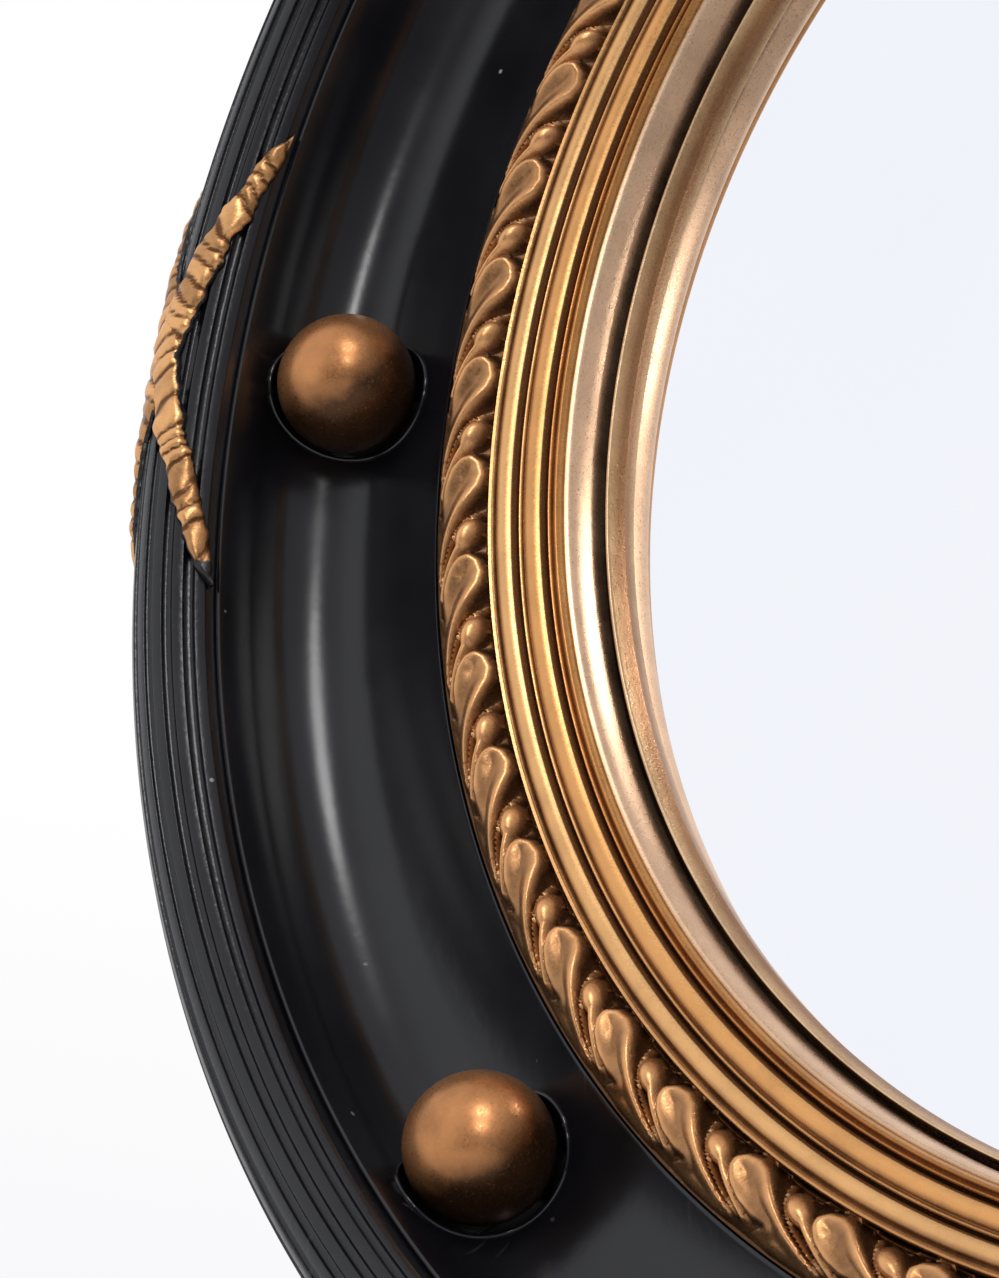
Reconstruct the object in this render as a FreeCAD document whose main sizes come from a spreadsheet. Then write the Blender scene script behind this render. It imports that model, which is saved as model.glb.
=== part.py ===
"""Convex butler's mirror: a round black frame with a reeded rim, eight gilt balls in a deep cove,
a gilt gadrooned and reeded sight moulding, and a domed mirror glass, with its fixings at the back.

Millimetres. +Z is up and the glass faces -Y. The origin is the mirror's centre on the wall plane.
A ring's outline is given by radius and by depth, which is how far a point stands in front of the wall.
"""
import FreeCAD, Part
import math
import os
import re

import Sketcher

doc = FreeCAD.newDocument("ConvexMirror")


# ---------------------------------------------------------------- driving dimensions

SIZES = [
    # glass and slip, from which the rings grow outwards
    ("glass_radius", 136.5, "edge of the glass"),
    ("glass_thickness", 3.0, "thickness of the glass"),
    ("dome_radius", 420.0, "radius of the domed face of the glass"),
    ("glass_fit", 0.25, "clearance in front of and behind the glass"),
    ("rebate_fit", 1.2, "clearance round the glass"),
    ("slip_lap", 8.3, "slip over the edge of the glass"),
    ("slip_width", 2.9, "sight edge of the slip to its outside"),
    ("slip_drop", 3.0, "sight edge of the slip behind the moulding seat"),
    ("slip_rise", 5.0, "top of the slip in front of the moulding seat"),
    ("slip_edge_width", 0.9, "front edge of the slip"),
    ("slip_flange_fit", 0.1, "clearance of the slip behind the gilt moulding"),
    ("slip_gap", 0.9, "dark gap between the slip and the gilt moulding"),
    # sight moulding
    ("band_start", 5.2, "start of the smooth band in front of the moulding seat"),
    ("band_rise", 6.2, "height of the smooth band"),
    ("band_width", 1.7, "width of the smooth band seen from the front"),
    ("band_bend_radius", 13.6, "radius of the smooth band's curve"),
    ("small_reed_width", 2.0, "third gilt reed"),
    ("middle_reed_width", 4.5, "second gilt reed"),
    ("large_reed_width", 4.3, "first gilt reed"),
    ("reed_step", 1.25, "rise from one gilt reed to the next"),
    ("reed_crown_height", 0.9, "crown of a gilt reed over its chord"),
    ("trough_wall", 0.7, "wall between the first reed and the trough"),
    ("trough_floor_height", 9.2, "floor of the gadroon trough in front of the moulding seat"),
    ("moulding_fit", 0.15, "clearance round the gilt moulding"),
    # gadroon strip
    ("strip_width", 11.2, "width of the gadroon strip"),
    ("strip_fit", 0.1, "clearance behind and beside the gadroon strip"),
    ("strip_outer_height", 4.0, "height of the strip at its outer foot"),
    ("strip_inner_height", 5.0, "height of the strip at its inner foot"),
    ("strip_crown_height", 3.7, "crown of the strip over the line between its feet"),
    ("pair_count", 56, "pairs of lobes, a large and a small one, round the strip"),
    ("small_lobe_width", 7.2, "cut on one side of a small lobe to the cut on its other side"),
    ("first_cut_shift", 10.3, "first cut to the left of the mirror's foot"),
    ("cut_mouth", 2.8, "width of a cut between two lobes, at their heads"),
    ("cut_tip", 0.8, "width of a cut between two lobes, at their tails"),
    ("cut_sweep", 8.6, "way round the strip from a cut's mouth to its tip"),
    ("cut_bend_radius", 17.0, "radius of a cut's curved sides"),
    ("cut_margin", 1.0, "cuts inside the edges of the strip"),
    ("cut_floor_height", 4.6, "floor of a cut in front of the back of the strip"),
    # cove and rim
    ("cove_width", 28.6, "gilt moulding to the wall of the cove"),
    ("cove_dip", 3.4, "deepest line of the cove behind its inner edge"),
    ("cove_corner_radius", 13.0, "round of the cove beside the rim"),
    ("rim_rise", 5.1, "rim centre in front of the end of the cove's round"),
    ("rim_section_radius", 8.4, "half the thickness of the rim over its fillets"),
    ("fillet_count", 8, "flat fillets round the rim's section"),
    ("fillet_degrees", 12.4, "share of the section that one fillet takes"),
    ("first_fillet_degrees", 145.5, "middle of the innermost fillet, from the outside of the section"),
    ("hollow_depth", 0.62, "hollow between two fillets, behind the line between their edges"),
    ("rim_seat_degrees", 29.0, "rim seat behind the rim centre, round the section"),
    ("rim_seat_inset", 8.05, "rim centre to the inner edge of its seat"),
    ("lip_width", 0.8, "thin lip of the cove inside the rim"),
    ("lip_rise", 2.5, "top of the thin lip in front of the rim centre"),
    ("lip_groove", 0.9, "start of the hollow beside the lip, behind the lip's top"),
    ("lip_groove_radius", 1.53, "radius of the hollow beside the lip"),
    ("wall_outset", 4.0, "outer wall outside the rim centre"),
    ("wall_taper", 1.5, "outer wall drawn in towards the back"),
    # balls
    ("ball_count", 8, "balls in the cove"),
    ("ball_radius", 10.94, "radius of a ball"),
    ("ball_inset", 10.85, "ball centre inside the wall of the cove"),
    ("ball_rise", 7.8, "ball centre in front of the deepest line of the cove"),
    ("socket_gap", 1.5, "gap round a ball in its socket"),
    ("pin_radius", 2.5, "radius of a ball's pin"),
    ("pin_fit", 0.05, "clearance round a pin or a screw"),
    ("pin_in_ball", 8.0, "depth of the pin in its ball"),
    ("pin_in_frame", 9.0, "depth of the pin in the frame"),
    # ribbons
    ("ribbon_count", 4, "crossed ribbons round the rim"),
    ("ribbon_width", 6.4, "width of a ribbon at the crossing"),
    ("ribbon_tip_width", 2.4, "width of a ribbon at its tips"),
    ("ribbon_thickness", 1.1, "thickness of a ribbon"),
    ("ribbon_degrees", 11.4, "crossing to a ribbon's tip, round the mirror"),
    ("ribbon_inner_degrees", 148.0, "inner tips of a ribbon, round the rim's section"),
    ("ribbon_outer_degrees", -10.0, "outer tips of a ribbon, round the rim's section"),
    ("ribbon_fit", 0.3, "clearance between the ribbons and the fillets"),
    # cushion and backing board
    ("cushion_width", 10.5, "width of the cushion ring behind the glass"),
    ("cushion_height", 2.0, "thickness of the cushion at the edge of the glass"),
    ("board_lap", 9.5, "backing board outside the edge of the glass"),
    ("board_thickness", 3.0, "thickness of the backing board"),
    ("board_recess", 1.5, "board set in from the back of the frame"),
    ("board_fit", 1.0, "clearance round the backing board"),
    ("board_screw_count", 8, "screws round the backing board"),
    ("board_screw_length", 12.0, "length of a backing screw behind its head"),
    # hangers and bumpers
    ("hanger_degrees", 61.5, "ring bars from the top of the mirror"),
    ("strap_width", 14.0, "width of a hanger strap"),
    ("strap_length", 46.0, "ring bar to the end of the strap"),
    ("strap_thickness", 1.5, "thickness of a hanger strap"),
    ("wire_radius", 1.5, "radius of the ring wire"),
    ("bar_fit", 0.1, "clearance round the ring bar"),
    ("ring_stand_off", 0.3, "clearance between a hanging ring and its strap"),
    ("ring_radius", 11.0, "round end of the ring, to the middle of its wire"),
    ("ring_leg", 8.0, "ring bar to the centre of the round end"),
    ("ring_corner_radius", 3.5, "bend beside the ring bar"),
    ("first_screw_drop", 25.5, "ring bar to the upper hanger screw"),
    ("screw_pitch", 14.0, "upper to lower hanger screw"),
    ("hanger_screw_length", 16.0, "length of a hanger or bumper screw behind its head"),
    ("screw_radius", 1.9, "radius of a screw's shank"),
    ("screw_head_radius", 3.6, "radius of a screw's head"),
    ("screw_head_height", 1.9, "height of a screw's head"),
    ("screw_head_taper", 1.1, "screw's head drawn in towards its top"),
    ("bumper_height", 8.0, "wall to the back of the frame"),
    ("bumper_radius", 10.0, "radius of a bumper at the frame"),
    ("bumper_taper", 1.5, "bumper drawn in towards the wall"),
    ("bumper_degrees", 35.0, "bumpers from the foot of the mirror"),
    ("bumper_web", 3.0, "rubber behind the bumper screw's head"),
]

sheet = doc.addObject("Spreadsheet::Sheet", "Sizes")
for row, (alias, number, note) in enumerate(SIZES, start=1):
    sheet.set(f"A{row}", note)
    sheet.set(f"B{row}", str(number))
    sheet.setAlias(f"B{row}", alias)
doc.recompute()

ALIASES = {alias for alias, _, _ in SIZES}


def cells(formula):
    """A formula in size names, as an expression that reads them from the sheet."""
    return re.sub(r"[a-z_]+", lambda word: f"Sizes.{word[0]}" if word[0] in ALIASES else word[0], formula)


def value(formula):
    """The number that a formula gives now."""
    result = sheet.evalExpression(cells(formula))
    return float(getattr(result, "Value", result))


# ---------------------------------------------------------------- places shared by several pieces

# radii, from the glass outwards
SLIP_RADIUS = "(glass_radius - slip_lap)"
SLIP_OUTSIDE = f"({SLIP_RADIUS} + slip_width)"
BORE_RADIUS = f"({SLIP_OUTSIDE} + slip_gap)"
BAND_TOP_RADIUS = f"({BORE_RADIUS} + band_width)"
SECOND_GROOVE_RADIUS = f"({BAND_TOP_RADIUS} + small_reed_width)"
FIRST_GROOVE_RADIUS = f"({SECOND_GROOVE_RADIUS} + middle_reed_width)"
LAST_REED_RADIUS = f"({FIRST_GROOVE_RADIUS} + large_reed_width)"
TROUGH_RADIUS = f"({LAST_REED_RADIUS} + trough_wall)"
STRIP_INSIDE = f"({TROUGH_RADIUS} + strip_fit)"
STRIP_OUTSIDE = f"({STRIP_INSIDE} + strip_width)"
MOULDING_RADIUS = f"({STRIP_OUTSIDE} + strip_fit)"
COVE_INSIDE = f"({MOULDING_RADIUS} + moulding_fit)"
COVE_RADIUS = f"({COVE_INSIDE} + cove_width)"
BALL_CIRCLE = f"({COVE_RADIUS} - ball_inset)"
RIM_SEAT_RADIUS = f"({COVE_RADIUS} + lip_width)"
RIM_CENTRE_RADIUS = f"({RIM_SEAT_RADIUS} + rim_seat_inset)"
WALL_RADIUS = f"({RIM_CENTRE_RADIUS} + wall_outset)"
GLASS_REBATE_RADIUS = "(glass_radius + rebate_fit)"
BOARD_RADIUS = "(glass_radius + board_lap)"
BOARD_REBATE_RADIUS = f"({BOARD_RADIUS} + board_fit)"
BOARD_SCREW_RADIUS = f"(({GLASS_REBATE_RADIUS} + {BOARD_RADIUS}) / 2)"
BACK_CIRCLE = f"(({BOARD_REBATE_RADIUS} + {WALL_RADIUS} - wall_taper) / 2)"

# depths, from the wall to the front
BACK = "bumper_height"
BOARD_BACK = f"({BACK} + board_recess)"
BOARD_FRONT = f"({BOARD_BACK} + board_thickness)"
GLASS_BACK = f"({BOARD_FRONT} + cushion_height + 2 * glass_fit)"
DOME_CENTRE = f"({GLASS_BACK} - sqrt((dome_radius - glass_thickness) ^ 2 - glass_radius ^ 2))"
SIGHT_EDGE = f"({DOME_CENTRE} + sqrt(dome_radius ^ 2 - {SLIP_RADIUS} ^ 2) + glass_fit)"
MOULDING_SEAT = f"({SIGHT_EDGE} + slip_drop)"
BAND_START = f"({MOULDING_SEAT} + band_start)"
BAND_TOP = f"({BAND_START} + band_rise)"
TROUGH_FLOOR = f"({MOULDING_SEAT} + trough_floor_height)"
STRIP_BACK = f"({TROUGH_FLOOR} + strip_fit)"
COVE_FOOT = f"({STRIP_BACK} + strip_outer_height)"
COVE_FLOOR = f"({COVE_FOOT} - cove_dip)"
COVE_ROUND_END = f"({COVE_FLOOR} + cove_corner_radius)"
RIM_CENTRE = f"({COVE_ROUND_END} + rim_rise)"
RIM_SEAT = f"({RIM_CENTRE} - rim_section_radius * sin(rim_seat_degrees))"
LIP_TOP = f"({RIM_CENTRE} + lip_rise)"
BALL_CENTRE = f"({COVE_FLOOR} + ball_rise)"
SOCKET_RADIUS = "(ball_radius + socket_gap)"
SOCKET_FLOOR = f"({BALL_CENTRE} - {SOCKET_RADIUS})"
RING_BAR = f"({BACK} - strap_thickness - ring_stand_off - wire_radius)"


def dome(radius, thickness="0"):
    """Depth of the domed glass at a radius, on its face or that much further back."""
    return f"({DOME_CENTRE} + sqrt((dome_radius - {thickness}) ^ 2 - ({radius}) ^ 2))"


def crowned(width, rise, crown):
    """Bend radius of an arc over a chord of a width and a rise, by its crown over the chord."""
    return f"((({width}) ^ 2 + ({rise}) ^ 2) / 4 + {crown} ^ 2) / (2 * {crown})"


# ---------------------------------------------------------------- ways of making a piece

def bind(thing, **formulas):
    """Tie properties of an object to formulas in size names."""
    for name, formula in formulas.items():
        thing.setExpression(name.replace("__", "."), cells(formula))
    return thing


def origin_feature(body, role):
    return next(item for item in body.Origin.OriginFeatures if item.Role == role)


def draw(sketch, corners):
    """Draw a closed outline and pin each corner to its formulas.

    A corner is (across, depth), and has (bend radius, side) after it where the line to the next corner is
    an arc, with side 1 where the arc's centre lies on the left of the way along it and -1 on the right.
    """
    spots = [FreeCAD.Vector(value(corner[0]), -value(corner[1]), 0) for corner in corners]
    pens = []
    for index, corner in enumerate(corners):
        begin, end = spots[index], spots[(index + 1) % len(spots)]
        if len(corner) == 2:
            edge = sketch.addGeometry(Part.LineSegment(begin, end))
            pens.append((edge, 1, 2))
            continue
        radius, side = value(corner[2]), corner[3]
        chord = end - begin
        across = FreeCAD.Vector(-chord.y, chord.x, 0).normalize()
        centre = (begin + end) * 0.5 + across * side * math.sqrt(radius ** 2 - chord.Length ** 2 / 4)
        first, last = (begin, end) if side > 0 else (end, begin)
        turn = [math.atan2(spot.y - centre.y, spot.x - centre.x) for spot in (first, last)]
        circle = Part.Circle(centre, FreeCAD.Vector(0, 0, 1), radius)
        edge = sketch.addGeometry(Part.ArcOfCircle(circle, turn[0], turn[1] + 2 * math.pi * (turn[1] < turn[0])))
        pens.append((edge, 1, 2) if side > 0 else (edge, 2, 1))
        pin(sketch, Sketcher.Constraint("Radius", edge, radius), corner[2])
    for index, (edge, start, end) in enumerate(pens):
        follower, first, _ = pens[(index + 1) % len(pens)]
        sketch.addConstraint(Sketcher.Constraint("Coincident", edge, end, follower, first))
        across, fall = corners[index][:2]
        hold(sketch, "DistanceX", (edge, start), spots[index].x, across, -2)
        hold(sketch, "DistanceY", (edge, start), spots[index].y, f"-({fall})" if fall != "0" else "0", -1)


def hold(sketch, kind, spot, distance, formula, axis):
    """Hold a corner on an axis, or at a distance from the origin on either side of it."""
    if formula == "0":
        sketch.addConstraint(Sketcher.Constraint("PointOnObject", *spot, axis))
    elif distance > 0:
        pin(sketch, Sketcher.Constraint(kind, -1, 1, *spot, distance), formula)
    else:
        pin(sketch, Sketcher.Constraint(kind, *spot, -1, 1, -distance), f"-({formula})")


def pin(sketch, constraint, formula):
    index = sketch.addConstraint(constraint)
    sketch.setExpression(f"Constraints[{index}]", cells(formula))


def new_body(name, plane, corners):
    """A body with a closed outline drawn on one of its planes."""
    body = doc.addObject("PartDesign::Body", name)
    sketch = new_sketch(body, f"{name}_outline", plane)
    draw(sketch, corners)
    return body, sketch


def new_sketch(body, name, plane):
    sketch = body.newObject("Sketcher::SketchObject", name)
    sketch.AttachmentSupport = [(origin_feature(body, plane), "")]
    sketch.MapMode = "FlatFace"
    sketch.Visibility = False
    return sketch


def ring(name, corners):
    """A body turned about the mirror's axis from an outline of corners."""
    body, sketch = new_body(name, "XY_Plane", corners)
    turned = body.newObject("PartDesign::Revolution", f"{name}_turned")
    turned.Profile = sketch
    turned.ReferenceAxis = (sketch, ["V_Axis"])
    turned.Angle = 360
    doc.recompute()
    return body


FACING = FreeCAD.Rotation(FreeCAD.Vector(1, 0, 0), 90)


def place(thing, across, depth, height):
    """Put a thing whose own +Z axis is to face the front at a place given by formulas."""
    thing.Placement = FreeCAD.Placement(FreeCAD.Vector(), FACING)
    return bind(thing, Placement__Base__x=across, Placement__Base__y=f"-({depth})",
                Placement__Base__z=height)


def drill(body, name, radius, depth, length, across, height):
    """A round hole along the mirror's axis, from a depth towards the front."""
    hole = body.newObject("PartDesign::SubtractiveCylinder", name)
    bind(hole, Radius=radius, Height=length)
    return place(hole, across, depth, height)


def cylinder(name, radius, length, across, depth, height):
    return place(bind(doc.addObject("Part::Cylinder", name), Radius=radius, Height=length),
                 across, depth, height)


def joined(name, kind, things):
    whole = doc.addObject(kind, name)
    setattr(whole, "Links" if kind == "Part::Compound" else "Shapes", things)
    return whole


def cut(name, base, tool):
    rest = doc.addObject("Part::Cut", name)
    rest.Base, rest.Tool = base, tool
    return rest


def screw(name, length, across, seat, height):
    """A pan-head screw driven towards the front, with the underside of its head at a seat depth."""
    shank = cylinder(f"{name}_shank", "screw_radius", length, across, seat, height)
    head = bind(doc.addObject("Part::Cone", f"{name}_head"), Radius1="screw_head_radius - screw_head_taper",
                Radius2="screw_head_radius", Height="screw_head_height")
    place(head, across, f"{seat} - screw_head_height", height)
    return joined(name, "Part::MultiFuse", [shank, head])


def around(radius, degrees):
    """Formulas for the place at an angle from the top, seen from the front, +X on the right."""
    return f"({radius}) * sin({degrees})", f"({radius}) * cos({degrees})"


def evenly_round(radius, count, first="0"):
    """Places at equal angles round the mirror, the first at a share of a step from the top."""
    return [around(radius, f"360 * ({index} + {first}) / {count}") for index in range(int(value(count)))]


nodes = {}

# ---------------------------------------------------------------- carcase, turned black ring

SHALLOW_WIDTH = f"({COVE_RADIUS} - cove_corner_radius - {COVE_INSIDE})"
SHALLOW_RADIUS = f"({SHALLOW_WIDTH} ^ 2 + cove_dip ^ 2) / (2 * cove_dip)"
carcase = ring("cove_frame", [
    (f"{WALL_RADIUS} - wall_taper", BACK),
    (WALL_RADIUS, RIM_SEAT),
    (RIM_SEAT_RADIUS, RIM_SEAT),
    (RIM_SEAT_RADIUS, LIP_TOP),
    (COVE_RADIUS, LIP_TOP),
    (COVE_RADIUS, COVE_ROUND_END, "cove_corner_radius", 1),
    (f"{COVE_RADIUS} - cove_corner_radius", COVE_FLOOR, SHALLOW_RADIUS, 1),
    (COVE_INSIDE, COVE_FOOT),
    (COVE_INSIDE, MOULDING_SEAT),
    (GLASS_REBATE_RADIUS, MOULDING_SEAT),
    (GLASS_REBATE_RADIUS, BOARD_FRONT),
    (BOARD_REBATE_RADIUS, BOARD_FRONT),
    (BOARD_REBATE_RADIUS, BACK),
])

BALL_PLACES = evenly_round(BALL_CIRCLE, "ball_count")
for number, (across, height) in enumerate(BALL_PLACES, start=1):
    socket = carcase.newObject("PartDesign::SubtractiveSphere", f"ball_socket_{number}")
    place(bind(socket, Radius=SOCKET_RADIUS), across, BALL_CENTRE, height)
    drill(carcase, f"ball_bore_{number}", "pin_radius + pin_fit", f"{SOCKET_FLOOR} - pin_in_frame",
          "pin_in_frame + socket_gap", across, height)

BOARD_SCREW_PLACES = evenly_round(BOARD_SCREW_RADIUS, "board_screw_count", "0.5")
for number, (across, height) in enumerate(BOARD_SCREW_PLACES, start=1):
    drill(carcase, f"board_pilot_{number}", "screw_radius + pin_fit", BOARD_FRONT,
          "board_screw_length - board_thickness + pin_fit", across, height)

HANGER_ACROSS, HANGER_HEIGHT = around(BACK_CIRCLE, "hanger_degrees")
HANGERS = {"left": f"-{HANGER_ACROSS}", "right": HANGER_ACROSS}
HANGER_SCREWS = [f"{HANGER_HEIGHT} - first_screw_drop", f"{HANGER_HEIGHT} - first_screw_drop - screw_pitch"]
for side, across in HANGERS.items():
    for number, height in enumerate(HANGER_SCREWS, start=1):
        drill(carcase, f"hanger_pilot_{side}_{number}", "screw_radius + pin_fit", BACK,
              "hanger_screw_length - strap_thickness + pin_fit", across, height)

BUMPERS = {"left": around(BACK_CIRCLE, "180 + bumper_degrees"),
           "right": around(BACK_CIRCLE, "180 - bumper_degrees")}
for side, (across, height) in BUMPERS.items():
    drill(carcase, f"bumper_pilot_{side}", "screw_radius + pin_fit", BACK,
          "hanger_screw_length - bumper_web + pin_fit", across, height)
doc.recompute()
nodes["cove_frame"] = carcase

# ---------------------------------------------------------------- reeded rim, flat fillets and hollows

LAST_FILLET = "(fillet_degrees / 2 - rim_seat_degrees)"
FILLET_PITCH = f"((first_fillet_degrees - {LAST_FILLET}) / (fillet_count - 1))"
HOLLOW_WIDTH = f"(2 * rim_section_radius * sin(({FILLET_PITCH} - fillet_degrees) / 2))"
HOLLOW_RADIUS = crowned(HOLLOW_WIDTH, "0", "hollow_depth")


def on_rim(degrees):
    """A point of the rim's round section, with degrees counted from its outermost point to the front."""
    return (f"{RIM_CENTRE_RADIUS} + rim_section_radius * cos({degrees})",
            f"{RIM_CENTRE} + rim_section_radius * sin({degrees})")


rim_outline = [(RIM_SEAT_RADIUS, RIM_SEAT), (RIM_SEAT_RADIUS, f"{LIP_TOP} - lip_groove", "lip_groove_radius", -1)]
for index in range(int(value("fillet_count"))):
    middle = f"first_fillet_degrees - {index} * {FILLET_PITCH}"
    rim_outline.append(on_rim(f"{middle} + fillet_degrees / 2"))
    rim_outline.append((*on_rim(f"{middle} - fillet_degrees / 2"), HOLLOW_RADIUS, -1))
rim_outline[-1] = rim_outline[-1][:2]
nodes["reeded_rim"] = ring("reeded_rim", rim_outline)

# ---------------------------------------------------------------- gilt moulding round the glass

def reed_bend(width):
    return crowned(width, "reed_step", "reed_crown_height")


nodes["sight_moulding"] = ring("sight_moulding", [
    (BORE_RADIUS, MOULDING_SEAT),
    (BORE_RADIUS, BAND_START, "band_bend_radius", 1),
    (BAND_TOP_RADIUS, BAND_TOP, reed_bend("small_reed_width"), 1),
    (SECOND_GROOVE_RADIUS, f"{BAND_TOP} + reed_step", reed_bend("middle_reed_width"), 1),
    (FIRST_GROOVE_RADIUS, f"{BAND_TOP} + 2 * reed_step", reed_bend("large_reed_width"), 1),
    (LAST_REED_RADIUS, f"{BAND_TOP} + 3 * reed_step"),
    (TROUGH_RADIUS, f"{BAND_TOP} + 3 * reed_step"),
    (TROUGH_RADIUS, TROUGH_FLOOR),
    (MOULDING_RADIUS, TROUGH_FLOOR),
    (MOULDING_RADIUS, MOULDING_SEAT),
])

# ---------------------------------------------------------------- gadroon strip

strip = ring("gadroon_strip", [
    (STRIP_INSIDE, STRIP_BACK),
    (STRIP_INSIDE, f"{STRIP_BACK} + strip_inner_height",
     crowned("strip_width", "strip_inner_height - strip_outer_height", "strip_crown_height"), 1),
    (STRIP_OUTSIDE, f"{STRIP_BACK} + strip_outer_height"),
    (STRIP_OUTSIDE, STRIP_BACK),
])

# cuts that part the lobes, drawn at the foot of the mirror, pocketed from the front and repeated round it
STRIP_FRONT = f"({STRIP_BACK} + strip_inner_height + strip_crown_height)"
cuts = new_sketch(strip, "lobe_cuts", "XZ_Plane")
bind(cuts, AttachmentOffset__Base__z=STRIP_FRONT)
for start in ("-first_cut_shift", "small_lobe_width - first_cut_shift"):
    draw(cuts, [
        (f"{start} - cut_mouth / 2", f"{STRIP_INSIDE} + cut_margin"),
        (f"{start} + cut_mouth / 2", f"{STRIP_INSIDE} + cut_margin", "cut_bend_radius", 1),
        (f"{start} + cut_sweep + cut_tip / 2", f"{STRIP_OUTSIDE} - cut_margin"),
        (f"{start} + cut_sweep - cut_tip / 2", f"{STRIP_OUTSIDE} - cut_margin", "cut_bend_radius", -1),
    ])
carving = strip.newObject("PartDesign::Pocket", "lobe_pocket")
carving.Profile = cuts
bind(carving, Length=f"{STRIP_FRONT} - {STRIP_BACK} - cut_floor_height")
doc.recompute()
lobes = strip.newObject("PartDesign::PolarPattern", "lobes")
lobes.Originals = [carving]
lobes.Axis = (origin_feature(strip, "Y_Axis"), [""])
lobes.Angle = 360
bind(lobes, Occurrences="pair_count")
strip.Tip = lobes
doc.recompute()
nodes["gadroon_strip"] = strip

# ---------------------------------------------------------------- slip that frames the glass

SLIP_TOP = f"({MOULDING_SEAT} + slip_rise)"
SLIP_SHOULDER = f"({SLIP_TOP} - slip_edge_width / 2)"
SLIP_FLANGE = f"({MOULDING_SEAT} - slip_flange_fit)"
nodes["sight_slip"] = ring("sight_slip", [
    (SLIP_RADIUS, SIGHT_EDGE),
    (f"{SLIP_OUTSIDE} - slip_edge_width", SLIP_SHOULDER),
    (f"{SLIP_OUTSIDE} - slip_edge_width / 2", SLIP_TOP),
    (SLIP_OUTSIDE, SLIP_SHOULDER),
    (SLIP_OUTSIDE, SLIP_FLANGE),
    ("glass_radius", SLIP_FLANGE),
    ("glass_radius", f"{dome('glass_radius')} + glass_fit"),
])

# ---------------------------------------------------------------- domed mirror glass

nodes["mirror_glass"] = ring("mirror_glass", [
    ("0", dome("0"), "dome_radius", 1),
    ("glass_radius", dome("glass_radius")),
    ("glass_radius", dome("glass_radius", "glass_thickness"), "dome_radius - glass_thickness", -1),
    ("0", dome("0", "glass_thickness")),
])

# ---------------------------------------------------------------- cushion, backing board and its screws

CUSHION_INSIDE = "(glass_radius - cushion_width)"
nodes["glass_cushion"] = ring("glass_cushion", [
    (CUSHION_INSIDE, f"{BOARD_FRONT} + glass_fit"),
    (CUSHION_INSIDE, f"{dome(CUSHION_INSIDE, 'glass_thickness')} - glass_fit"),
    ("glass_radius", f"{dome('glass_radius', 'glass_thickness')} - glass_fit"),
    ("glass_radius", f"{BOARD_FRONT} + glass_fit"),
])

board = ring("backing_board", [
    ("0", BOARD_BACK), ("0", BOARD_FRONT), (BOARD_RADIUS, BOARD_FRONT), (BOARD_RADIUS, BOARD_BACK),
])
for number, (across, height) in enumerate(BOARD_SCREW_PLACES, start=1):
    drill(board, f"board_hole_{number}", "screw_radius + pin_fit", f"{BOARD_BACK} - pin_fit",
          "board_thickness + 2 * pin_fit", across, height)
doc.recompute()
nodes["backing_board"] = board

board_screws = [screw(f"board_screw_{number}", "board_screw_length", across, BOARD_BACK, height)
                for number, (across, height) in enumerate(BOARD_SCREW_PLACES, start=1)]
nodes["backing_screws"] = joined("backing_screws", "Part::Compound", board_screws)

# ---------------------------------------------------------------- gilt balls on pins

pins = []
for number, (across, height) in enumerate(BALL_PLACES, start=1):
    name = f"ball_{number}"
    sphere = place(bind(doc.addObject("Part::Sphere", f"{name}_round"), Radius="ball_radius"),
                   across, BALL_CENTRE, height)
    bore = cylinder(f"{name}_bore", "pin_radius + pin_fit", "pin_in_ball + pin_fit", across,
                    f"{BALL_CENTRE} - ball_radius", height)
    nodes[name] = cut(name, sphere, bore)
    pins.append(cylinder(f"{name}_pin", "pin_radius", "pin_in_frame + socket_gap + pin_in_ball - pin_fit",
                         across, f"{SOCKET_FLOOR} - pin_in_frame + pin_fit", height))
nodes["ball_pins"] = joined("ball_pins", "Part::Compound", pins)

# ---------------------------------------------------------------- crossed ribbons over the rim

RIBBON_STEPS = 6          # cross-sections from the crossing to a tip
RIBBON_TAPER = 1.5        # power by which a ribbon narrows towards its tips
NEXT_SHARE = 0.01         # step along a ribbon that gives its direction
ribbon_section = value("rim_section_radius + ribbon_fit")
ribbon_reach = value("ribbon_degrees")
ribbon_cross = value("(ribbon_inner_degrees + ribbon_outer_degrees) / 2")
ribbon_sweep = value("(ribbon_inner_degrees - ribbon_outer_degrees) / 2")


def over_rim(degrees, section_degrees):
    """A place over the rim and the way out of it, by the angle from the top and round the rim's section."""
    turn, bend = math.radians(degrees), math.radians(section_degrees)
    outward = FreeCAD.Vector(math.sin(turn), 0, math.cos(turn))
    front = FreeCAD.Vector(0, -1, 0)
    normal = outward * math.cos(bend) + front * math.sin(bend)
    return outward * value(RIM_CENTRE_RADIUS) + front * value(RIM_CENTRE) + normal * ribbon_section, normal


def ribbon_bar(way, share):
    """Cross-section of a band, bent over the rim, at a share of the way from the crossing to its inner tip."""
    middle, normal = over_rim(way * ribbon_reach * share, ribbon_cross + ribbon_sweep * share)
    onward = share + NEXT_SHARE
    ahead, _ = over_rim(way * ribbon_reach * onward, ribbon_cross + ribbon_sweep * onward)
    run = (ahead - middle).normalize()
    across = normal.cross(run).normalize()
    taper = abs(share) ** RIBBON_TAPER
    half = value("ribbon_width / 2") + value("(ribbon_tip_width - ribbon_width) / 2") * taper
    along_rim = FreeCAD.Vector(normal.z, 0, -normal.x).normalize()
    drop = (half * (1 - abs(across.dot(along_rim)))) ** 2 / (2 * ribbon_section)
    sides = [middle - across * half - normal * drop, middle, middle + across * half - normal * drop]
    crown = [spot + normal * value("ribbon_thickness") for spot in reversed(sides)]
    return Part.makePolygon(sides + crown + sides[:1])


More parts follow.
